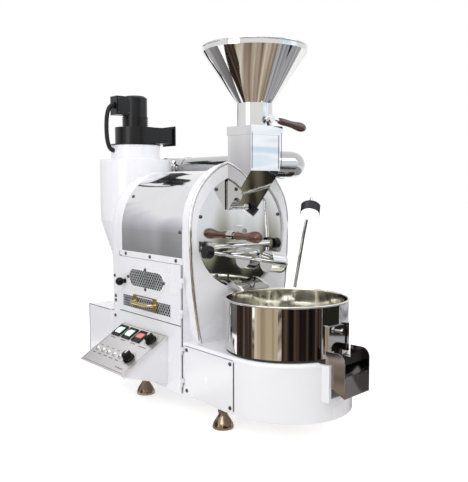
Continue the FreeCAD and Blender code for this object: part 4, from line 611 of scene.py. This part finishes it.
lampHead = {"start": (138.0, 62.0, 520.0), "way": (-18.0, -14.0, -28.0), "radius": 23.0}
r = lampHead["radius"]
bandRidges = np.arange(0, 33)
capProfile = [(0, -1.5), (4.2, -1.5), (4.2, 7), (5.4, 8), (6.2, 10.5), (9.5, 12.2), (15, 13.4),
              (r - 1.6, 14.6), (r - 0.6, 15.4), (0, 15.4)]
bandProfile = [(0, 15)] + [(r + 0.6 - 0.5 * (k % 2), 15 + 0.75 * k) for k in bandRidges] + [(0, 39)]
lensTurn = np.linspace(0, np.pi / 2, 9)
lensProfile = [(0, 38.6), (r - 0.6, 38.6), (r - 0.6, 40)]
lensProfile += [((r - 1.2) * math.cos(a), 40 + 6.4 * math.sin(a)) for a in lensTurn]


def lampPart(name, profile, finish, smoothAngle=40.0):
    grid = turnedGrid(profile, lampHead["start"], lampHead["way"], 56)
    return makePiece(name, [(grid, True, False)], finish, "lamp", smoothAngle)


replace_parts(lampPart("lampShade", capProfile, "lampCap"), "lamp_head")
lampPart("lampBand", bandProfile, "bandGrey", 25)
lampPart("lampLens", lensProfile, "litLens")
print("lamp head made")

# Trier clamp: a bright bar through the bracket with a black knurled head

clamp = {
    "y": 151.0,
    "z": 414.0,
    "bar": 5.0,
    "from": -107.0,
    "to": 93.0,
    "headFrom": 85.0,
    "dips": 20,
    "depth": 0.05,
}
barLength = clamp["to"] - clamp["from"]
barProfile = [(0, 0), (clamp["bar"], 0.6), (clamp["bar"], barLength), (0, barLength)]
barGrid = turnedGrid(barProfile, (clamp["from"], clamp["y"], clamp["z"]), (1, 0, 0), 32)
makePiece("clampBar", [(barGrid, True, False)], "mirrorSteel", "clamp_knob")
headProfile = [(0, 0), (7, 0), (7, 7), (11.6, 7), (13, 8.6), (13, 23.4), (11.6, 25), (0, 25)]


def knurled(angle, index):
    # Shallow dips, evenly spaced, round the two rings of the grip.
    onGrip = ((index >= 4) & (index <= 5)).astype(float)
    return 1 - clamp["depth"] * onGrip * (0.5 + 0.5 * np.cos(clamp["dips"] * angle))


headGrid = turnedGrid(headProfile, (clamp["headFrom"], clamp["y"], clamp["z"]), (1, 0, 0), 80, knurled)
head = makePiece("clampHead", [(headGrid, True, False)], "blackPlastic", "clamp_knob", 30)
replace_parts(head, "clamp_knob")
print("clamp made")

# Stirrer: bristles under each blade, splayed a little

brush = {
    "reach": 128.0,
    "shares": (0.42, 0.7, 0.93),
    "low": 210.6,
    "high": 226.0,
    "count": 22,
    "thick": 0.75,
    "seed": 7,
    "bladeLength": 24.0,
    "farthest": 125.0,
    "rowGap": 2.0,
    "splay": 1.6,
    "bow": 0.3,
    "lean": 1.1,
}
random = np.random.default_rng(brush["seed"])
bristles = []
for arm in range(3):
    turn = math.radians(90 + 120 * arm)
    along = np.array([math.cos(turn), math.sin(turn), 0])
    across = np.array([-math.sin(turn), math.cos(turn), 0])
    for share in brush["shares"]:
        for side in (-1, 1):
            for step in range(brush["count"]):
                where = brush["reach"] * share - brush["bladeLength"] / 2
                where += brush["bladeLength"] * step / (brush["count"] - 1)
                lean = random.normal(0, brush["lean"], 2)
                top = (along * min(where, brush["farthest"]) + across * side * brush["rowGap"]
                       + [0, 0, brush["high"]])
                foot = (top + along * lean[0] + across * (side * brush["splay"] + lean[1])
                        + [0, 0, brush["low"] - brush["high"]])
                middle = (top + foot) / 2 + across * side * brush["bow"]
                bristles.append((tubeGrid(np.stack([top, middle, foot]), brush["thick"] / 2, 3), False, True))
makePiece("stirrerBristles", bristles, "bristleBlack", "stirrer")
print("bristles:", len(bristles))

# Screw heads: a low dome with a six-sided socket

screwHead = {"radius": 4.6, "height": 2.9, "socket": 1.9}


def screwGrid(spot, way):
    # Point(t, s) round the screw's axis. The socket's radius is a hexagon's: its flat over the cosine
    # of the angle from the nearest flat.
    way, side, up = axisFrame(way)
    angle = np.linspace(0, 2 * np.pi, 24, endpoint=False)[:, None]
    flat = 1 / np.cos((angle + np.pi / 6) % (np.pi / 3) - np.pi / 6)
    r, h, s = screwHead["radius"], screwHead["height"], screwHead["socket"]
    profile = np.array([(0, -0.2), (r, -0.2), (r, 0.9), (r * 0.93, h * 0.62), (r * 0.72, h * 0.9),
                        (r * 0.5, h), (s, h), (s, 0.9), (0, 0.9)])
    radius = np.broadcast_to(profile[:, 0], (24, len(profile))).copy()
    radius[:, 6:8] = s * flat
    grid = (np.asarray(spot, float) + profile[None, :, 1, None] * way
            + (radius * np.cos(angle))[..., None] * side + (radius * np.sin(angle))[..., None] * up)
    return (grid, True, False)


faceBolts = {"front": 166.0, "circle": 128.0, "count": 10, "hiddenAbove": 0.97}
sideScrews = {
    "panel": (-151.5, ((18, 72), (18, 170), (183, 72), (183, 170))),
    "cover": (-152.0, ((225, 379), (342, 379), (462, 379))),
    "coverEdge": (-151.5, ((208, 448),)),
}
archScrews = {"turn": 33.4, "radius": 151.5, "places": (208, 463)}
cabinetScrews = (-150.0, ((527, 313), (522, 258), (522, 246), (526, 203)))
doorSpots = (-154.6, ((361, 344), (361, 294), (447, 319), (275, 319)))


def sideGrids(x, spots):
    return [screwGrid((x, y, z), (-1, 0, 0)) for y, z in spots]


screws = []
for k in range(faceBolts["count"]):
    turn = 2 * math.pi * (k + 0.5) / faceBolts["count"]
    if abs(math.sin(turn)) < faceBolts["hiddenAbove"]:
        spot = (faceBolts["circle"] * math.cos(turn), faceBolts["front"],
                layout["axleHeight"] + faceBolts["circle"] * math.sin(turn))
        screws.append(screwGrid(spot, (0, -1, 0)))
for x, spots in sideScrews.values():
    screws += sideGrids(x, spots)
archTurn = math.radians(archScrews["turn"])
archWay = (-math.cos(archTurn), 0, math.sin(archTurn))
screws += [screwGrid((archScrews["radius"] * archWay[0], y,
                      layout["axleHeight"] + archScrews["radius"] * archWay[2]),
                     archWay) for y in archScrews["places"]]
screws += sideGrids(*cabinetScrews)
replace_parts(makePiece("screwHeads", screws, "screwSteel", "frame", 30), "screws")
doorScrews = sideGrids(*doorSpots)
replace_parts(makePiece("doorScrewHeads", doorScrews, "screwSteel", "upper_door", 30),
            "door_screws")
print("screws:", len(screws) + len(doorScrews))

# Rolled seams on the cyclone: height, radius of the ring, radius of its wire

cycloneSeams = {"y": 663.0, "rings": ((456.0, 104.8, 1.3), (633.2, 104.4, 1.7), (676.0, 72.8, 1.3))}


def hoopGrid(centre, radius, wire):
    # A level ring: a small circle of points carried round a large one.
    way, side, up = axisFrame((0, 0, 1))
    big = np.linspace(0, 2 * np.pi, 96, endpoint=False)[:, None, None]
    small = np.linspace(0, 2 * np.pi, 10, endpoint=False)[None, :, None]
    out = np.cos(big) * side + np.sin(big) * up
    points = np.asarray(centre, float) + out * (radius + wire * np.cos(small)) + way * wire * np.sin(small)
    return (points, True, True)


cycloneRings = [hoopGrid((0, cycloneSeams["y"], z), radius, wire)
                for z, radius, wire in cycloneSeams["rings"]]
makePiece("cycloneSeams", cycloneRings, "whitePaint", "frame")

# Levelling feet: a bell, a six-sided nut and a threaded stem, whose ridge climbs it

foot = {
    "thread": 6.0,
    "wire": 0.62,
    "low": 46.5,
    "high": 57.0,
    "lead": 2.0,
    "places": [(-115, 90), (-115, 429), (115, 90), (115, 429)],
    "profile": [(0, 0), (24, 0), (25, 1.2), (25, 4), (23.6, 10), (20, 17), (15.5, 24), (11.5, 30), (10, 35),
                (9.6, 36), (10.4, 36), (10.4, 44), (9.6, 45), (5.6, 45), (5.6, 69), (0, 69)],
}


def nutFlats(angle, index):
    # Between rings 9 and 12 the radius is a hexagon's: its flat over the cosine from the nearest flat.
    flat = 1 / np.cos((angle + np.pi / 6) % (np.pi / 3) - np.pi / 6)
    return np.where((index >= 9) & (index <= 12), flat, 1.0)


feet = [(turnedGrid(foot["profile"], (x, y, 0), (0, 0, 1), 48, nutFlats), True, False)
        for x, y in foot["places"]]
for x, y in foot["places"]:
    turns = (foot["high"] - foot["low"]) / foot["lead"]
    t = np.linspace(0, turns, int(turns * 18))
    path = np.stack([x + foot["thread"] * np.cos(2 * np.pi * t), y + foot["thread"] * np.sin(2 * np.pi * t),
                     foot["low"] + foot["lead"] * t], -1)
    feet.append((tubeGrid(path, foot["wire"], 5), False, True))
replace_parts(makePiece("footBells", feet, "bronze", "frame", 50), "levelling_feet")

# Dark strips of painted shade in the gaps round the doors and the panel, and the folded edges of the rear box


def stripBlock(middle, half):
    return (blockGrid(middle, half, corner=0.05, rows=5, cols=12), False, True)


def gapShadeGrid(x, y, z):
    # A flat strip on a side face, from the first to the second y and z.
    middle = (x, (y[0] + y[1]) / 2, (z[0] + z[1]) / 2)
    return stripBlock(middle, (panelGapShade["thick"] / 2, (y[1] - y[0]) / 2, (z[1] - z[0]) / 2))


# Thin dark strips in the gaps round the doors, the panel and the hinges: painted shade.
panelGapShade = {
    "thick": 0.5,
    "strips": [
        (-151.2, (206, 497), (221.8, 224.9)),
        (-150.6, (206, 497), (370.2, 372.4)),
        (-150.5, (200.8, 203.4), (60, 385)),
        (-150.5, (498.2, 499.6), (60, 384)),
        (-150.4, (5.8, 9.1), (66, 176)),
        (-150.4, (9, 192), (178, 179)),
        (-150.4, (192, 193), (64, 178)),
        (-150.3, (679.6, 682.2), (58, 215.2)),
        (-150.3, (556, 682), (213.6, 215.4)),
    ],
}
makePiece("panelGapShade", [gapShadeGrid(*strip) for strip in panelGapShade["strips"]], "inkAndGapShade", "frame",
          30)
rearFlange = {"x": 149.4, "y": 543.5, "z": 136.5, "half": (0.3, 13, 78.5)}
flanges = [stripBlock((side * rearFlange["x"], rearFlange["y"], rearFlange["z"]), rearFlange["half"])
           for side in (-1, 1)]
makePiece("rearFlanges", flanges, "whitePaint", "frame", 30)
boxSeam = {"x": 45.2, "y": 70.4, "z": 640, "half": (0.5, 0.7, 42)}
boxSeams = [stripBlock((side * boxSeam["x"], boxSeam["y"], boxSeam["z"]), boxSeam["half"])
            for side in (-1, 1)]
makePiece("feedBoxSeams", boxSeams, "inkAndGapShade", "frame", 30)
print("feet and seams made")

# Blank cover on the motor's junction box, with its four small screws

junctionCover = {
    "x": -49,
    "y": 643.2,
    "z": 790.5,
    "half": (20.5, 0.9, 23.0),
    "screwFront": 642.4,
    "screwsApart": (17.5, 20),
    "screwProfile": [(0, 0), (1.7, 0), (1.7, 0.7), (0.9, 1.3), (0, 1.35)],
}
k = junctionCover
lid = blockGrid((k["x"], k["y"], k["z"]), k["half"], corner=0.12)
makePiece("junctionLid", [(lid, False, True)], "blackEnamel", "frame")
lidScrews = []
for sideX in (-1, 1):
    for sideZ in (-1, 1):
        spot = (k["x"] + sideX * k["screwsApart"][0], k["screwFront"], k["z"] + sideZ * k["screwsApart"][1])
        lidScrews.append((turnedGrid(k["screwProfile"], spot, (0, -1, 0), 14), True, False))
makePiece("junctionScrews", lidScrews, "screwSteel", "frame")
print("junction box dressed")

# Black corrugated conduit from the junction box to the cyclone's collar

conduit = {
    "route": [(-72, 663, 792), (-96, 663, 792), (-96, 663, 661), (-73.1, 663, 661)],
    "radius": 6.5,
    "ridge": 0.07,
    "pitch": 3.2,
    "pointsPerPitch": 6,
    "glandFrom": (-71, 663, 792),
    "gland": [(0, 0), (9.6, 0), (9.6, 5), (8.4, 7.5), (7.2, 9), (0, 9)],
}


def splinePoints(points, perSpan):
    # The route's own NURBS curve of order 3, read back as an even run of points.
    curve = bpy.data.curves.new("route", "CURVE")
    curve.dimensions = "3D"
    spline = curve.splines.new("NURBS")
    spline.points.add(len(points) - 1)
    for point, where in zip(spline.points, place(points)):
        point.co = (*where, 1)
    spline.order_u = 3
    spline.use_endpoint_u = True
    spline.resolution_u = perSpan
    holder = bpy.data.objects.new("route", curve)
    bpy.context.scene.collection.objects.link(holder)
    bpy.context.view_layer.update()
    mesh = bpy.data.meshes.new_from_object(holder)
    found = np.array([v.co for v in mesh.vertices], float)
    bpy.data.objects.remove(holder)
    return found


route = splinePoints(conduit["route"], 40)
steps = np.linalg.norm(np.diff(route, axis=0), axis=1)
runLength = np.concatenate([[0], np.cumsum(steps)])
even = np.linspace(0, runLength[-1], int(runLength[-1] * 1000 / conduit["pitch"] * conduit["pointsPerPitch"]))
line = np.stack([np.interp(even, runLength, route[:, axis]) for axis in range(3)], -1)
phase = even * 1000 / conduit["pitch"] * 2 * np.pi


def ribbed(index):
    # The radius rises and falls once each pitch along the line.
    return 1 - conduit["ridge"] * (0.5 - 0.5 * np.cos(phase[index]))


hose = makePiece("conduitHose", [(tubeGrid(line, conduit["radius"] / 1000, 16, False, ribbed), False, True)],
                 "hosePlastic", "frame", 50, True)
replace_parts(hose, "blower_conduit")
glandGrid = turnedGrid(conduit["gland"], conduit["glandFrom"], (-1, 0, 0), 24,
                       lambda angle, index: 1 + 0.03 * np.cos(6 * angle) * (index < 3))
makePiece("conduitGland", [(glandGrid, True, False)], "blackPlastic", "frame", 30)
print("conduit length, mm:", round(float(runLength[-1]) * 1000, 1))

# Camera, white surroundings, softboxes, and the cards that only the polished metal sees

studio = {
    "cameraPlace": (-1.01677, -1.41546, 0.55869),
    "cameraTurn": (85.36, 0.0, -38.83),
    "lens": 52.64,
    "worldDiffuse": 0.66,
    "floorGlow": 0.60,
    "cardCentre": (0.05, -0.29),
    "floorHalf": 12.0,
}
softboxes = {
    "keySoftbox": {"where": (-2.2, -1.6, 2.6), "aim": (0, 0, 0.4), "size": (1.8, 1.8), "power": 26},
    "fillSoftbox": {"where": (2.0, -2.2, 1.8), "aim": (0, 0, 0.4), "size": (1.6, 1.6), "power": 16},
    "topSoftbox": {"where": (0.0, -0.1, 2.6), "aim": (0, -0.1, 0.4), "size": (1.6, 1.6), "power": 15},
    "sideSoftbox": {"where": (-2.4, -0.4, 0.9), "aim": (0, 0, 0.3), "size": (1.0, 1.0), "power": 9},
}
arcCards = {
    "darkCard": {"turns": (-17, 52), "heights": (0.0, 0.40), "distance": 0.75,
                 "stops": [(0.35, (0.006, 0.005, 0.005)), (0.5, (0.02, 0.013, 0.011)),
                           (0.65, (0.11, 0.07, 0.05))]},
    "warmCard": {"turns": (58, 99), "heights": (0.0, 0.40), "distance": 0.75,
                 "stops": [(0.3, (0.40, 0.31, 0.20)), (0.5, (0.60, 0.50, 0.34)), (0.7, (0.80, 0.72, 0.58))]},
    "brownCard": {"turns": (103, 140), "heights": (0.0, 0.34), "distance": 0.75,
                  "stops": [(0.35, (0.008, 0.006, 0.005)), (0.5, (0.05, 0.033, 0.024)),
                            (0.65, (0.22, 0.17, 0.13))]},
    "greyCard": {"turns": (140, 176), "heights": (0.0, 1.2), "distance": 1.15, "rise": 1.0, "start": 0.3,
                 "stops": [(0.2, (0.12, 0.115, 0.115)), (0.6, (0.30, 0.295, 0.30)),
                           (0.85, (0.66, 0.65, 0.69)), (1.05, (0.95, 0.95, 0.97))]},
    "plateCard": {"turns": (-62, -20), "heights": (0.0, 0.60), "distance": 1.15, "rise": 1.1, "start": 0.34,
                  "stops": [(0.36, (0.02, 0.02, 0.016)), (0.42, (0.30, 0.30, 0.20)),
                            (0.50, (0.58, 0.58, 0.55)), (0.62, (0.98, 1.0, 1.05))]},
    "skyCard": {"turns": (-64, -20), "heights": (0.60, 1.15), "distance": 1.15, "stretch": (0.3, 0.3, 2.4),
                "stops": [(0.42, (0.78, 1.02, 1.22)), (0.48, (1.15, 1.22, 1.3)), (0.53, (1.35, 1.38, 1.42)),
                          (0.6, (1.0, 1.15, 1.3))]},
}
floorCards = {
    "brownFloor": {"corners": [(-2.1, -1.5), (0.2, -2.4), (0.45, -0.2), (-1.3, 0.4)],
                   "stops": [(0.3, (0.03, 0.022, 0.018)), (0.40, (0.26, 0.20, 0.15)),
                             (0.56, (0.60, 0.49, 0.38)), (0.72, (0.95, 0.90, 0.82))]},
    "greyFloor": {"corners": [(0.2, -2.4), (2.8, -1.6), (2.2, 1.0), (0.45, -0.2)],
                  "stops": [(0.3, (0.20, 0.20, 0.22)), (0.45, (0.40, 0.40, 0.42)),
                            (0.65, (0.62, 0.63, 0.66))]},
    "darkFloor": {"corners": [(0.24, -0.40), (0.85, -0.45), (0.85, 0.35), (0.24, 0.25)], "high": 0.004,
                  "stops": [(0.3, (0.010, 0.009, 0.008)), (0.55, (0.03, 0.028, 0.02)),
                            (0.66, (0.30, 0.28, 0.18))]},
}


def addCamera():
    data = bpy.data.cameras.new("studioCamera")
    data.sensor_fit = "HORIZONTAL"
    data.sensor_width = 36
    data.lens = studio["lens"]
    data.clip_start = 0.05
    data.clip_end = 100
    camera = bpy.data.objects.new("studioCamera", data)
    camera.location = studio["cameraPlace"]
    camera.rotation_euler = [math.radians(a) for a in studio["cameraTurn"]]
    bpy.context.scene.collection.objects.link(camera)
    bpy.context.scene.camera = camera


def addWorld():
    world = bpy.data.worlds.new("studioWorld")
    world.use_nodes = True
    tree = world.node_tree
    background = tree.nodes["Background"]
    background.inputs["Color"].default_value = (1, 1, 1, 1)
    path = tree.nodes.new("ShaderNodeLightPath")
    seen = tree.nodes.new("ShaderNodeMath")
    seen.operation = "MAXIMUM"
    tree.links.new(path.outputs["Is Camera Ray"], seen.inputs[0])
    tree.links.new(path.outputs["Is Glossy Ray"], seen.inputs[1])
    both = tree.nodes.new("ShaderNodeMath")
    both.operation = "MAXIMUM"
    tree.links.new(seen.outputs[0], both.inputs[0])
    tree.links.new(path.outputs["Is Transmission Ray"], both.inputs[1])
    level = tree.nodes.new("ShaderNodeMapRange")
    level.inputs["To Min"].default_value = studio["worldDiffuse"]
    level.inputs["To Max"].default_value = 1.0
    tree.links.new(both.outputs[0], level.inputs["Value"])
    tree.links.new(level.outputs["Result"], background.inputs["Strength"])
    bpy.context.scene.world = world


def addFloor():
    # A flat square grid at Z = 0, white, that still takes the roaster's shadow.
    side = studio["floorHalf"]
    mesh = bpy.data.meshes.new("floor")
    mesh.from_pydata([(-side, -side, 0), (side, -side, 0), (side, side, 0), (-side, side, 0)], [],
                     [(0, 1, 2, 3)])
    floor = bpy.data.objects.new("floor", mesh)
    bpy.context.scene.collection.objects.link(floor)
    mat, tree, shader, vector = startMaterial("floorWhite")
    tree.links.new(addRamp(tree, addNoise(tree, vector, 3.0),
                           [(0.3, (0.78, 0.78, 0.78)), (0.7, (0.8, 0.8, 0.8))]),
                   shader.inputs["Base Color"])
    shader.inputs["Roughness"].default_value = 0.8
    path = tree.nodes.new("ShaderNodeLightPath")
    top = tree.nodes.new("ShaderNodeMath")
    top.operation = "MAXIMUM"
    tree.links.new(path.outputs["Is Camera Ray"], top.inputs[0])
    tree.links.new(path.outputs["Is Glossy Ray"], top.inputs[1])
    glow = tree.nodes.new("ShaderNodeMath")
    glow.operation = "MULTIPLY"
    glow.inputs[1].default_value = studio["floorGlow"]
    tree.links.new(top.outputs[0], glow.inputs[0])
    shader.inputs["Emission Color"].default_value = (1, 1, 1, 1)
    tree.links.new(glow.outputs[0], shader.inputs["Emission Strength"])
    floor.data.materials.append(mat)


def addSoftbox(name, where, aim, size, power):
    data = bpy.data.lights.new(name, "AREA")
    data.shape = "RECTANGLE"
    data.size, data.size_y = size
    data.energy = power
    lamp = bpy.data.objects.new(name, data)
    lamp.location = where
    lamp.rotation_euler = (Vector(aim) - Vector(where)).to_track_quat("-Z", "Y").to_euler()
    bpy.context.scene.collection.objects.link(lamp)


def onlyInReflections(card):
    card.visible_camera = False
    card.visible_diffuse = False
    card.visible_shadow = False
    card.visible_transmission = False


def cardMaterial(name, stops, stretch, scale, turn=0.0, rise=0.0, start=0.0):
    # A matt card's shade: streaks of noise, plus rise times the height above start, pick the colour.
    mat = bpy.data.materials.new(name)
    mat.use_nodes = True
    tree = mat.node_tree
    tree.nodes.remove(tree.nodes["Principled BSDF"])
    coords = tree.nodes.new("ShaderNodeTexCoord")
    noise = addNoise(tree, coords.outputs["Object"], scale, 2.0, stretch, (0, 0, turn))
    split = tree.nodes.new("ShaderNodeSeparateXYZ")
    tree.links.new(coords.outputs["Object"], split.inputs[0])
    lift = tree.nodes.new("ShaderNodeMath")
    lift.operation = "MULTIPLY_ADD"
    lift.inputs[1].default_value = rise
    lift.inputs[2].default_value = -rise * start
    tree.links.new(split.outputs["Z"], lift.inputs[0])
    total = tree.nodes.new("ShaderNodeMath")
    tree.links.new(noise, total.inputs[0])
    tree.links.new(lift.outputs[0], total.inputs[1])
    glow = tree.nodes.new("ShaderNodeEmission")
    tree.links.new(addRamp(tree, total.outputs[0], stops), glow.inputs["Color"])
    tree.links.new(glow.outputs["Emission"], tree.nodes["Material Output"].inputs["Surface"])
    return mat


def arcCard(name, turns, heights, stops, distance, rise=0.0, start=0.0, stretch=(1, 1, 0.04)):
    # An upright curved card: point(t, h) = centre + distance at angle t, which is 0 at the front
    # and grows to the left.
    turn = np.radians(np.linspace(turns[0], turns[1], 25))
    centre = studio["cardCentre"]
    foot = np.stack([centre[0] - distance * np.sin(turn), centre[1] - distance * np.cos(turn)], -1)
    rows = [np.column_stack([foot, np.full(len(foot), h)]) for h in heights]
    mesh = bpy.data.meshes.new(name)
    mesh.from_pydata(np.concatenate(rows).tolist(), [], gridFaces(2, len(turn), False, False).tolist())
    card = bpy.data.objects.new(name, mesh)
    bpy.context.scene.collection.objects.link(card)
    card.data.materials.append(cardMaterial(name, stops, stretch, 7.0, 0.0, rise, start))
    onlyInReflections(card)


def floorCard(name, corners, stops, high=0.002):
    # A sheet on the floor before the machine, for the metal that looks down: streaks run towards the camera.
    mesh = bpy.data.meshes.new(name)
    mesh.from_pydata([(x, y, high) for x, y in corners], [], [(0, 1, 2, 3)])
    card = bpy.data.objects.new(name, mesh)
    bpy.context.scene.collection.objects.link(card)
    card.data.materials.append(cardMaterial(name, stops, (1, 0.12, 1), 5.5, math.radians(43)))
    onlyInReflections(card)


addCamera()
addWorld()
addFloor()
for name, softbox in softboxes.items():
    addSoftbox(name, **softbox)
for name, card in arcCards.items():
    arcCard(name, **card)
for name, card in floorCards.items():
    floorCard(name, **card)
bpy.context.scene.view_settings.view_transform = "Standard"
print("studio ready")
